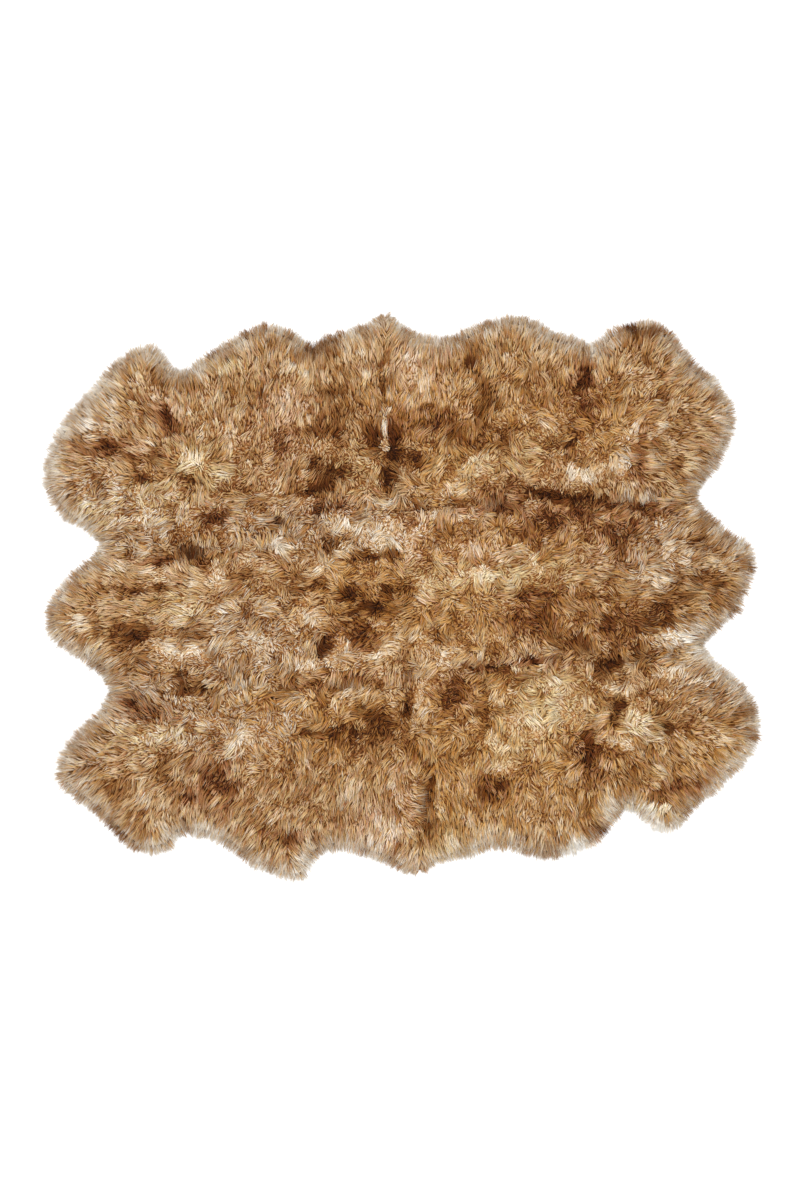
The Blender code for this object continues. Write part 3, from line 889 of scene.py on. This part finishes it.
def underwool_mesh(base):
    """The dense wool under the wisps, with a wall that bulges past the hide and a lumpy top."""
    bm = base.grid
    underside = bm.faces[:]
    region = underside
    bmesh.ops.translate(bm, verts=bm.verts, vec=(0.0, 0.0, HIDE_UNDERSIDE + HIDE_THICKNESS))
    for level in WALL_LEVELS:
        grown = bmesh.ops.extrude_face_region(bm, geom=region)["geom"]
        if region is not underside:
            bmesh.ops.delete(bm, geom=region, context="FACES")
        region = [part for part in grown if isinstance(part, bmesh.types.BMFace)]
        corners = [part for part in grown if isinstance(part, bmesh.types.BMVert)]
        for corner in corners:
            corner.co.z = level.height
            if corner[base.number]:
                index = corner[base.number] - 1
                outward = base.outward[index]
                corner.co.xy = base.ring[index, :2] + outward * base.bulge[index] * level.bulge
    for corner in corners:
        if corner[base.number]:
            index = corner[base.number] - 1
            inside = base.ring[index, :2] - base.outward[index] * QUERY_INSET
            corner.co.z = base.wool_height(inside) - EDGE_DROP
        else:
            lump = noise.noise(corner.co.xy.to_3d() / UNDERWOOL_LUMP_SIZE)
            height = base.wool_height(corner.co) - PILE_DEPTH
            corner.co.z = height + UNDERWOOL_LUMPS * lump
    bmesh.ops.dissolve_faces(bm, faces=underside)
    mesh = finished_mesh(bm, f"underwool_{base.name}")
    corners = laid_flat(np.array([corner.co for corner in mesh.vertices]))
    rim_share = 1.0 - rising(base.rim.find(corners)[1] / RIM_BASE_WIDTH)
    # Painted light: paler underwool near the rim, to lift the shade in the groove under the wisps there
    tones = tone_at(corners[:, :2]) + RIM_GROOVE_PAINTED_LIGHT * rim_share
    layer = mesh.attributes.new(TONE_NAME, "FLOAT", "POINT")
    layer.data.foreach_set("value", tones.astype(np.float32))
    return mesh


def hide_mesh(base):
    """The tanned hide: a thin flat sheet with softened edges, and its flat area."""
    bm = base.sheet
    area = sum(face.calc_area() for face in bm.faces)
    bmesh.ops.dissolve_faces(bm, faces=bm.faces[:])
    bmesh.ops.translate(bm, verts=bm.verts, vec=(0.0, 0.0, HIDE_UNDERSIDE))
    grown = bmesh.ops.extrude_face_region(bm, geom=bm.faces[:])["geom"]
    corners = [part for part in grown if isinstance(part, bmesh.types.BMVert)]
    bmesh.ops.translate(bm, verts=corners, vec=(0.0, 0.0, HIDE_THICKNESS))
    bmesh.ops.recalc_face_normals(bm, faces=bm.faces)
    edges = [edge for edge in bm.edges if abs(edge.verts[0].co.z - edge.verts[1].co.z) < FLAT_TOLERANCE]
    bmesh.ops.bevel(
        bm, geom=edges, offset=HIDE_EDGE_BEVEL, affect="EDGES", segments=HIDE_EDGE_SEGMENTS,
        profile=0.5, material=-1, clamp_overlap=True)
    mesh = finished_mesh(bm, f"hide_{base.name}")
    mesh.shade_flat()
    return mesh, area


# A spindle's points are its root, three round its widest place, and its tip
SPINDLE_TRIANGLES = np.array((
    (1, 2, 4), (2, 3, 4), (3, 1, 4),
    (2, 1, 0), (3, 2, 0), (1, 3, 0),
))
SPINDLE_ANGLES = np.radians((90.0, 210.0, 330.0))


def spindles(roots, controls, tips, widths, flatness):
    """Closed spindles that taper to both ends, each along its own bent line."""
    share = WIDEST_PLACE
    middles = (1 - share) ** 2 * roots + 2 * share * (1 - share) * controls + share ** 2 * tips
    along = unit(tips - roots)
    side = unit(np.cross(along, (0.0, 0.0, 1.0)) + SIDE_NUDGE)
    side = unit(side - along * np.sum(side * along, axis=1, keepdims=True))
    lift = np.cross(along, side)
    half = widths[:, None] / 2
    ring = [
        middles + half * (math.cos(angle) * side + flatness * math.sin(angle) * lift)
        for angle in SPINDLE_ANGLES
    ]
    points = np.stack([roots, *ring, tips], axis=1)
    size = points.shape[1]
    starts = np.arange(len(roots))[:, None, None] * size
    return points.reshape(-1, 3), (SPINDLE_TRIANGLES[None] + starts).reshape(-1, 3)


def flow_at(places):
    """Flat direction in which the wool lies at each place, as long as its lean."""
    strokes = np.array([(stroke.x, stroke.y) for stroke in STROKES])
    headings = np.radians([stroke.heading for stroke in STROKES])
    leans = np.array([stroke.lean for stroke in STROKES])
    lying = leans[:, None] * np.column_stack((np.cos(headings), np.sin(headings)))
    apart = np.linalg.norm(places[:, None] - strokes[None], axis=2) / STROKE_REACH
    weights = np.exp(-apart ** 2) + FAR_SHARE / (1.0 + apart ** 4)
    flow = weights @ lying / weights.sum(axis=1, keepdims=True)
    for whorl in WHORLS:
        away = places - (whorl.x, whorl.y)
        distance = np.linalg.norm(away, axis=1) / whorl.radius
        strength = np.exp(-distance ** 2)[:, None]
        round_it = turned(unit(away), whorl.turn) * WHORL_LEAN
        flow += (round_it * rising(distance / WHORL_EYE)[:, None] - flow) * strength
    return flow


def patch_strength(places, patch, spread):
    """How strongly a patch shows at each place."""
    away = turned(places - (patch.x, patch.y), -patch.turn)
    apart = (away[:, 0] / (patch.length * spread)) ** 2 + (away[:, 1] / (patch.width * spread)) ** 2
    return np.exp(-apart ** PATCH_EDGE)


def tone_at(places):
    """Tone of the wool at each place, from its patches and its natural variation."""
    warp = [TONE_WARP * noise_at(places, TONE_WARP_SIZE, layer) for layer in WARP_LAYERS]
    warped = places + np.column_stack(warp)
    tone = MIDDLE_TONE + BROAD_TONE * noise_at(places, BROAD_TONE_SIZE, BROAD_LAYER)
    tone += FINE_TONE * noise_at(places, FINE_TONE_SIZE, FINE_LAYER)
    # Some dark patches are painted shade of seams, hollows and a shaded rim; the darkest and the palest
    # patch at each place count.
    darkest = np.zeros(len(places))
    palest = np.zeros(len(places))
    for group in PATCH_GROUPS:
        for patch in group.patches:
            effect = group.tone * patch_strength(warped, patch, TONE_PATCH_SPREAD)
            darkest = np.minimum(darkest, effect)
            palest = np.maximum(palest, effect)
    return tone + darkest + palest


def family_shares(places, rim_share):
    """Running total of how common each family of colour is at each place."""
    names = [family.name for family in FAMILIES]
    shares = np.tile([family.share for family in FAMILIES], (len(places), 1))
    for group in PATCH_GROUPS:
        for patch in group.patches:
            strength = patch_strength(places, patch, HUE_PATCH_SPREAD)
            shares[:, names.index(group.hue)] += HUE_PATCH_SHARE * strength
    # The rim's grey: partly its pale greyish wool, partly painted shade of the loose fringe.
    shares[:, names.index("grey")] += RIM_GREY_AND_SHADE_SHARE * rim_share
    return np.cumsum(shares, axis=1) / shares.sum(axis=1, keepdims=True)


class Skin:
    """The part of the underwool's surface that wisps grow from."""

    def __init__(self, mesh, base):
        points = np.empty(len(mesh.vertices) * 3)
        mesh.vertices.foreach_get("co", points)
        corners = np.empty(len(mesh.loops), dtype=int)
        mesh.loops.foreach_get("vertex_index", corners)
        self.corners = points.reshape(-1, 3)[corners].reshape(-1, 3, 3)
        edges = self.corners[:, 1:] - self.corners[:, :1]
        across = np.cross(edges[:, 0], edges[:, 1])
        self.normals = unit(across)
        area = np.linalg.norm(across, axis=1) / 2
        centres = laid_flat(self.corners.mean(axis=1))
        from_rim = base.rim.find(centres)[1]
        from_seam = base.seam.find(centres)[1]
        facing_up = self.normals[:, 2] > WALL_FACING
        facing_out = ~facing_up & (self.normals[:, 2] > -UNDERCUT_FACING)
        rim_wall = facing_out & (from_rim < WALL_REACH) & (from_seam > SEAM_WALL_REACH)
        edge = facing_up & (from_rim < EDGE_WIDTH)
        self.weights = area * (facing_up + EDGE_DENSITY * edge + RIM_DENSITY * rim_wall)
        self.weight = self.weights.sum()

    def sample(self, count, dice):
        """Random places on the skin, evenly spread, with the way that it faces there."""
        chosen = dice.choice(len(self.weights), size=count, p=self.weights / self.weight)
        first, second = dice.random((2, count, 1))
        fold = first + second > 1.0
        first, second = np.where(fold, 1.0 - first, first), np.where(fold, 1.0 - second, second)
        corners = self.corners[chosen]
        places = (
            corners[:, 0]
            + first * (corners[:, 1] - corners[:, 0])
            + second * (corners[:, 2] - corners[:, 0]))
        return places, self.normals[chosen]


class Ground:
    """The underwool of the whole rug, as what the wisps stand on."""

    def __init__(self, meshes):
        together = bmesh.new()
        for mesh in meshes:
            together.from_mesh(mesh)
        self.surface = BVHTree.FromBMesh(together)
        together.free()

    def under(self, places, otherwise, free):
        """Where the ground is under each free place. Another place is used where it isn't."""
        down = Vector((0.0, 0.0, -1.0))
        found = otherwise.copy()
        for index in np.flatnonzero(free):
            x, y, _ = places[index]
            hit = self.surface.ray_cast(Vector((x, y, SKY_HEIGHT)), down)[0]
            if hit:
                found[index] = hit
        return found


def apart_on_wall(places, facing):
    """Places with those on the wall moved far off, so that wall and top don't mix."""
    on_wall = facing[:, 2] < WALL_FACING
    return places + np.outer(on_wall, (0.0, 0.0, WALL_APART))


class Tufts:
    """Where the wool gathers: each tuft has a heading, a length, a tone and a mix of colours."""

    def __init__(self, skin, base, dice):
        count = round(skin.weight / TUFT_SPACING ** 2)
        self.roots, facing = skin.sample(count, dice)
        flat = self.roots[:, :2]
        rim_point, from_rim = base.rim.find(laid_flat(self.roots))
        outward = base.rim_outward[rim_point]
        rim_share = 1.0 - rising((from_rim - RIM_TURN_FULL) / (RIM_TURN_START - RIM_TURN_FULL))
        on_wall = facing[:, 2] < WALL_FACING

        # Headings: with the flow inside, and outwards at the rim
        turn = SWIRL_TURN * noise_at(flat, SWIRL_SIZE, SWIRL_LAYER)
        turn += RIPPLE_TURN * noise_at(flat, RIPPLE_SIZE, RIPPLE_LAYER)
        turn += dice.normal(0.0, TUFT_TURN, count)
        flow = turned(flow_at(flat), turn)
        upright = 1.0 - np.linalg.norm(flow, axis=1, keepdims=True)
        drift = [noise_at(flat, DRIFT_SIZE, layer) for layer in DRIFT_LAYERS]
        flow += LOOSE_LEAN * upright * np.column_stack(drift)
        flow *= np.maximum(LEAST_LEAN / np.linalg.norm(flow, axis=1, keepdims=True), 1.0)
        flow *= dice.uniform(1.0 - TUFT_LEAN_VARIATION, 1.0 + TUFT_LEAN_VARIATION, count)[:, None]
        flow += (outward * RIM_LEAN - flow) * rim_share[:, None]
        lean = np.minimum(np.linalg.norm(flow, axis=1), LARGEST_LEAN)
        rise = np.sqrt(1.0 - lean ** 2)
        wall_rise = dice.uniform(*WALL_RISE, count)
        rise = np.where(on_wall, wall_rise, rise)
        self.headings = unit(np.column_stack((unit(flow) * lean[:, None], rise)))

        # Lengths: within the highest wool, and within reach of the rim
        length = WISP_LENGTH * dice.uniform(*TUFT_LENGTHS, count)
        rise_limit = RISE_LIMIT * dice.uniform(1.0 - RISE_VARIATION, 1.0 + RISE_VARIATION, count)
        rise_limit = np.minimum(rise_limit, HIGHEST_WOOL - self.roots[:, 2])
        length = np.minimum(length, rise_limit / np.maximum(self.headings[:, 2], SMALLEST_RISE))
        to_seam = base.seam.find(laid_flat(self.roots))[1]
        reach = RIM_REACH - SEAM_END_LOSS * np.exp(-(to_seam / SEAM_END_WIDTH) ** 2)
        reach += np.where(on_wall, 0.0, from_rim) + dice.uniform(*REACH_VARIATION, count)
        ahead = np.where(on_wall, 1.0, 1.0 - BACK_SHARE)
        outwards = np.sum(self.headings[:, :2] * outward, axis=1) * ahead
        self.lengths = np.minimum(length, reach / np.maximum(outwards, SMALLEST_RISE))

        # Colours: those of the place where most of the tuft shows
        self.rim_share = 1.0 - rising(from_rim / RIM_PALE_WIDTH)
        shown = flat + self.headings[:, :2] * self.lengths[:, None] * SHOWN_SHARE
        self.tones = tone_at(shown) + RIM_PALE * self.rim_share
        self.tones += CLUMP_TONE * noise_at(flat, CLUMP_TONE_SIZE, CLUMP_LAYER)
        self.tones += dice.normal(0.0, TUFT_TONE, count)
        self.families = family_shares(shown, self.rim_share)
        self.curls = dice.normal(0.0, CURL, count)
        self.tree = Nearest(apart_on_wall(self.roots, facing))


def wisp_colours(tufts, tuft, dice):
    """Tone and family of each wisp, from the tuft that it belongs to."""
    count = len(tuft)
    darker = DARK_WISP_TONE * ((dice.random(count) < DARK_WISP_SHARE) - DARK_WISP_SHARE)
    tones = tufts.tones[tuft] + darker + dice.normal(0.0, WISP_TONE, count)
    tones = np.clip(tones, PALETTE_LOW, PALETTE_HIGH)
    families = (dice.random((count, 1)) > tufts.families[tuft]).sum(axis=1)
    return tones, np.minimum(families, len(FAMILIES) - 1)


def set_palette_places(mesh, triangles, tones, families):
    """The palette map: tone runs across it, and each family has a band from root to tip."""
    steps = np.array((0.0, -PALETTE_STEP, 0.0, PALETTE_STEP, 0.0))
    heights = np.array((0.0, WIDEST_PLACE, WIDEST_PLACE, WIDEST_PLACE, 1.0))
    band = BAND_MARGIN + (1.0 - 2.0 * BAND_MARGIN) * heights
    across = tones[:, None] + steps[None]
    up = (families[:, None] + band[None]) / len(FAMILIES)
    places = np.stack((across.ravel(), up.ravel()), axis=1)[triangles.ravel()]
    layer = mesh.uv_layers.new(name=PALETTE_NAME)
    layer.uv.foreach_set("vector", places.astype(np.float32).ravel())


def wisp_mesh(skin, base, ground, count, dice):
    """All the wisps of one pelt as closed spindles, coloured by their place on the palette."""
    tufts = Tufts(skin, base, dice)
    places, facing = skin.sample(count, dice)
    tuft = tufts.tree.find(apart_on_wall(places, facing))[0]
    rim_share = tufts.rim_share[tuft]
    stray = WISP_STRAY * (1.0 + RIM_STRAY * rim_share[:, None])
    headings = unit(tufts.headings[tuft] + stray * dice.normal(0.0, 1.0, (count, 3)))
    headings[:, 2] = np.abs(headings[:, 2])
    lengths = tufts.lengths[tuft] * dice.uniform(*WISP_LENGTHS, count)
    on_wall = facing[:, 2] < WALL_FACING
    lengths *= 1.0 - RIM_THINNING * on_wall * dice.random(count)
    roots = places - headings * (BACK_SHARE * lengths)[:, None]
    roots = ground.under(roots, places, ~on_wall)
    tips = roots + headings * lengths[:, None]
    tuft_tips = tufts.roots[tuft] + tufts.headings[tuft] * tufts.lengths[tuft, None]
    tips += (tuft_tips - tips) * TUFT_PULL * (1.0 - RIM_LOOSENING * rim_share[:, None])
    droop = RIM_DROOP * rim_share * lengths
    tips[:, 2] = np.clip(tips[:, 2] - droop, FLOOR_CLEARANCE, HIGHEST_WOOL)

    across = np.column_stack((-headings[:, 1], headings[:, 0], np.zeros(count)))
    controls = roots + headings * ARCH_OUT * lengths[:, None]
    controls[:, 2] += ARCH_UP * lengths * (1.0 - rim_share * RIM_ARCH_LOSS)
    controls += across * (tufts.curls[tuft] * lengths)[:, None]
    roots = roots - facing * ROOT_DEPTH
    roots[:, 2] = np.maximum(roots[:, 2], FLOOR_CLEARANCE)
    controls[:, 2] = np.clip(controls[:, 2], FLOOR_CLEARANCE, HIGHEST_WOOL)
    widths = WISP_WIDTH * dice.uniform(*WISP_WIDTHS, count) * (1.0 - RIM_NARROWING * rim_share)
    points, triangles = spindles(roots, controls, tips, widths, WISP_FLATNESS)
    mesh = array_mesh(f"wisps_{base.name}", points, triangles)
    set_palette_places(mesh, triangles, *wisp_colours(tufts, tuft, dice))
    return mesh


def stitch_mesh(bases):
    """Slanted stitches across the seams, on the underside of the hides."""
    places = []
    directions = []
    for index, base in enumerate(bases):
        following = np.roll(base.ring, -1, axis=0)
        on_seam = base.on_seam & np.roll(base.on_seam, -1) & (base.neighbour > index)
        for start, end in zip(base.ring[on_seam], following[on_seam]):
            length = np.linalg.norm(end - start)
            count = max(1, round(length / STITCH_STEP))
            for step in range(count):
                places.append(start + (end - start) * (step + 0.5) / count)
                directions.append((end - start) / max(length, SMALLEST))
    places = np.array(places)
    along = np.array(directions)
    across = np.column_stack((-along[:, 1], along[:, 0], np.zeros(len(along))))
    places[:, 2] = HIDE_UNDERSIDE
    reach = across * STITCH_REACH + along * STITCH_SLANT
    widths = np.full(len(places), STITCH_THICKNESS)
    return array_mesh("seam_stitches", *spindles(places - reach, places, places + reach, widths, 1.0))


def new_material(name, finish):
    """A material with its node tree and its shader."""
    material = bpy.data.materials.new(name)
    material.use_nodes = True
    shader = material.node_tree.nodes["Principled BSDF"]
    shader.inputs["Roughness"].default_value = finish.roughness
    shader.inputs["Specular IOR Level"].default_value = finish.specular
    return material, material.node_tree, shader


def add_maths(tree, operation, *values):
    """A maths node whose inputs are numbers or other nodes' outputs."""
    node = tree.nodes.new("ShaderNodeMath")
    node.operation = operation
    for socket, value in zip(node.inputs, values):
        if isinstance(value, (int, float)):
            socket.default_value = value
        else:
            tree.links.new(value, socket)
    return node.outputs[0]


def add_noise(tree, grain):
    """Value of a noise texture that keeps its place on the rug."""
    coordinates = tree.nodes.new("ShaderNodeTexCoord").outputs["Object"]
    node = tree.nodes.new("ShaderNodeTexNoise")
    node.inputs["Scale"].default_value = grain.scale
    node.inputs["Detail"].default_value = grain.detail
    tree.links.new(coordinates, node.inputs["Vector"])
    return node.outputs["Fac"]


def add_ramp(tree, value, shades):
    """A colour ramp through some shades."""
    node = tree.nodes.new("ShaderNodeValToRGB")
    elements = node.color_ramp.elements
    for shade in shades[1:-1]:
        elements.new(shade.place)
    for element, shade in zip(elements, shades):
        element.position = shade.place
        element.color = (linear(shade.red), linear(shade.green), linear(shade.blue), 1.0)
    tree.links.new(value, node.inputs["Fac"])
    return node.outputs["Color"]


def add_bump(tree, shader, height, relief):
    """Fine relief from a height."""
    node = tree.nodes.new("ShaderNodeBump")
    node.inputs["Strength"].default_value = relief.strength
    node.inputs["Distance"].default_value = relief.distance
    tree.links.new(height, node.inputs["Height"])
    tree.links.new(node.outputs["Normal"], shader.inputs["Normal"])


def wool_colour_group():
    """Colour of wool from its tone, how far along the fibre it is, and its family."""
    group = bpy.data.node_groups.new("wool_colour", "ShaderNodeTree")
    for name in ("Tone", "Along", "Family"):
        group.interface.new_socket(name, in_out="INPUT", socket_type="NodeSocketFloat")
    group.interface.new_socket("Color", in_out="OUTPUT", socket_type="NodeSocketColor")
    inside = group.nodes.new("NodeGroupInput").outputs
    # Painted shade: the wool is darker towards the root of each wisp, where the pile lies deep in
    # shade.
    from_balance = add_maths(group, "SUBTRACT", inside["Along"], TIP_BALANCE)
    paler = add_maths(group, "MULTIPLY", from_balance, ROOT_SHADE_GAIN)
    lightness = add_maths(group, "ADD", inside["Tone"], paler)
    colour = add_ramp(group, lightness, FAMILIES[0].shades)
    for index, family in enumerate(FAMILIES[1:], start=1):
        mix = group.nodes.new("ShaderNodeMix")
        mix.data_type = "RGBA"
        of_family = add_maths(group, "GREATER_THAN", inside["Family"], index - 0.5)
        group.links.new(of_family, mix.inputs["Factor"])
        group.links.new(colour, mix.inputs[MIX_FIRST_COLOUR])
        group.links.new(add_ramp(group, lightness, family.shades), mix.inputs[MIX_SECOND_COLOUR])
        colour = mix.outputs[MIX_RESULT]
    outside = group.nodes.new("NodeGroupOutput")
    group.links.new(colour, outside.inputs["Color"])
    return group


def wisp_material(colours):
    """Wool of the wisps: the palette map gives tone, family and place along the wisp."""
    material, tree, shader = new_material("wool_wisps", WOOL)
    palette = tree.nodes.new("ShaderNodeUVMap")
    palette.uv_map = PALETTE_NAME
    parts = tree.nodes.new("ShaderNodeSeparateXYZ")
    tree.links.new(palette.outputs["UV"], parts.inputs["Vector"])
    band = add_maths(tree, "MULTIPLY", parts.outputs["Y"], float(len(FAMILIES)))
    wool = tree.nodes.new("ShaderNodeGroup")
    wool.node_tree = colours
    tree.links.new(parts.outputs["X"], wool.inputs["Tone"])
    tree.links.new(add_maths(tree, "FRACT", band), wool.inputs["Along"])
    tree.links.new(add_maths(tree, "FLOOR", band), wool.inputs["Family"])
    tree.links.new(wool.outputs["Color"], shader.inputs["Base Color"])
    return material


def underwool_material(colours):
    """Underwool near the hide, painted dark as the shade deep in the pile, with streaks and a matted
    relief.
    """
    material, tree, shader = new_material("wool_underwool", WOOL)
    fibres = add_noise(tree, MATTED_FIBRES)
    markings = tree.nodes.new("ShaderNodeAttribute")
    markings.attribute_name = TONE_NAME
    tone = add_maths(tree, "ADD", markings.outputs["Fac"], UNDERWOOL_TONE)
    tone = add_maths(tree, "MULTIPLY_ADD", fibres, UNDERWOOL_TONE_GAIN, tone)
    wool = tree.nodes.new("ShaderNodeGroup")
    wool.node_tree = colours
    wool.inputs["Along"].default_value = TIP_BALANCE
    wool.inputs["Family"].default_value = 0.0
    tree.links.new(tone, wool.inputs["Tone"])
    tree.links.new(wool.outputs["Color"], shader.inputs["Base Color"])
    add_bump(tree, shader, fibres, MATTED_RELIEF)
    return material


def suede_material():
    """Tanned suede: pale tan with soft blotches and a fine nap."""
    material, tree, shader = new_material("suede_hide", SUEDE)
    blotches = add_maths(tree, "MULTIPLY", add_noise(tree, BLOTCHES), BLOTCH_SHARE)
    nap = add_noise(tree, NAP)
    mixed = add_maths(tree, "MULTIPLY_ADD", nap, NAP_SHARE, blotches)
    tree.links.new(add_ramp(tree, mixed, SUEDE_SHADES), shader.inputs["Base Color"])
    add_bump(tree, shader, nap, NAP_RELIEF)
    return material


def thread_material():
    """Waxed sewing thread with a fine twist."""
    material, tree, shader = new_material("waxed_thread", THREAD)
    twist = add_noise(tree, TWIST)
    tree.links.new(add_ramp(tree, twist, THREAD_SHADES), shader.inputs["Base Color"])
    add_bump(tree, shader, twist, TWIST_RELIEF)
    return material


def floor_material():
    """Plain pale studio floor."""
    material, tree, shader = new_material("pale_floor", FLOOR)
    clouding = add_noise(tree, CLOUDING)
    tree.links.new(add_ramp(tree, clouding, FLOOR_SHADES), shader.inputs["Base Color"])
    return material


def make_floor():
    """A wide plain floor under the rug."""
    bm = bmesh.new()
    bmesh.ops.create_grid(bm, x_segments=1, y_segments=1, size=FLOOR_SIZE / 2)
    mesh = bpy.data.meshes.new("floor")
    bm.to_mesh(mesh)
    bm.free()
    mesh.materials.append(floor_material())
    floor = bpy.data.objects.new("floor", mesh)
    bpy.context.scene.collection.objects.link(floor)


def make_light():
    """An even pale sky and one large soft light above."""
    scene = bpy.context.scene
    scene.view_settings.view_transform = "Standard"
    world = bpy.data.worlds.new("soft_light")
    world.use_nodes = True
    background = world.node_tree.nodes["Background"]
    background.inputs["Color"].default_value = SKY_COLOUR
    background.inputs["Strength"].default_value = SKY_STRENGTH
    scene.world = world

    key_data = bpy.data.lights.new("key_light", "AREA")
    key_data.energy = KEY_ENERGY
    key_data.size = KEY_SIZE
    key = bpy.data.objects.new("key_light", key_data)
    key.location = KEY_PLACE
    key.rotation_euler = (-Vector(KEY_PLACE)).to_track_quat("-Z", "Y").to_euler()
    scene.collection.objects.link(key)


def make_camera():
    """The camera straight above the rug, as in the photograph."""
    camera_data = bpy.data.cameras.new("camera")
    camera_data.sensor_fit = "HORIZONTAL"
    camera_data.sensor_width = SENSOR_WIDTH
    camera_data.lens = SENSOR_WIDTH * CAMERA_HEIGHT / (PHOTO_WIDTH * PHOTO_STEP)
    camera = bpy.data.objects.new("camera", camera_data)
    across = (PHOTO_WIDTH / 2 - RUG_PIXEL_X) * PHOTO_STEP
    up = (RUG_PIXEL_Y - PHOTO_HEIGHT / 2) * PHOTO_STEP
    camera.location = (across, up, CAMERA_HEIGHT)
    bpy.context.scene.collection.objects.link(camera)
    bpy.context.scene.camera = camera


def make_rug():
    """The six pelts, each with its hide, underwool and wisps, and the sewing between them."""
    dice = np.random.default_rng(RANDOM_SEED)
    bases = [Base(f"pelt_{row}_{side}") for row in PELT_ROWS for side in PELT_SIDES]
    for base in bases:
        base.find_seams(bases)
    smooth_rims(bases)
    colours = wool_colour_group()
    wisps = wisp_material(colours)
    underwool = underwool_material(colours)
    suede = suede_material()

    underwools = [underwool_mesh(base) for base in bases]
    skins = [Skin(mesh, base) for mesh, base in zip(underwools, bases)]
    ground = Ground(underwools)
    for mesh, base in zip(underwools, bases):
        piece = add_piece(f"underwool_{base.name}", mesh, underwool)
        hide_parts(base.name)
    whole = sum(skin.weight for skin in skins)
    for base, skin in zip(bases, skins):
        count = round(WISP_COUNT * skin.weight / whole)
        mesh = wisp_mesh(skin, base, ground, count, dice)
        add_piece(f"wisps_{base.name}", mesh, wisps)
        mesh, area = hide_mesh(base)
        piece = add_piece(f"hide_{base.name}", mesh, suede)
    add_piece("seam_stitches", stitch_mesh(bases), thread_material())


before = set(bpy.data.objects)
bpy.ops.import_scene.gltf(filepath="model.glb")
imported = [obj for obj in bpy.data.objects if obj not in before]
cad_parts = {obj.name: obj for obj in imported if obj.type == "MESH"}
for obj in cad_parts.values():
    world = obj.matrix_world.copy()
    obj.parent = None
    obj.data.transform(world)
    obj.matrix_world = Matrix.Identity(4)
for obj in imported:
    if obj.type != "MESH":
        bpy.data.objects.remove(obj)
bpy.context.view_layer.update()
make_rug()
make_floor()
make_light()
make_camera()
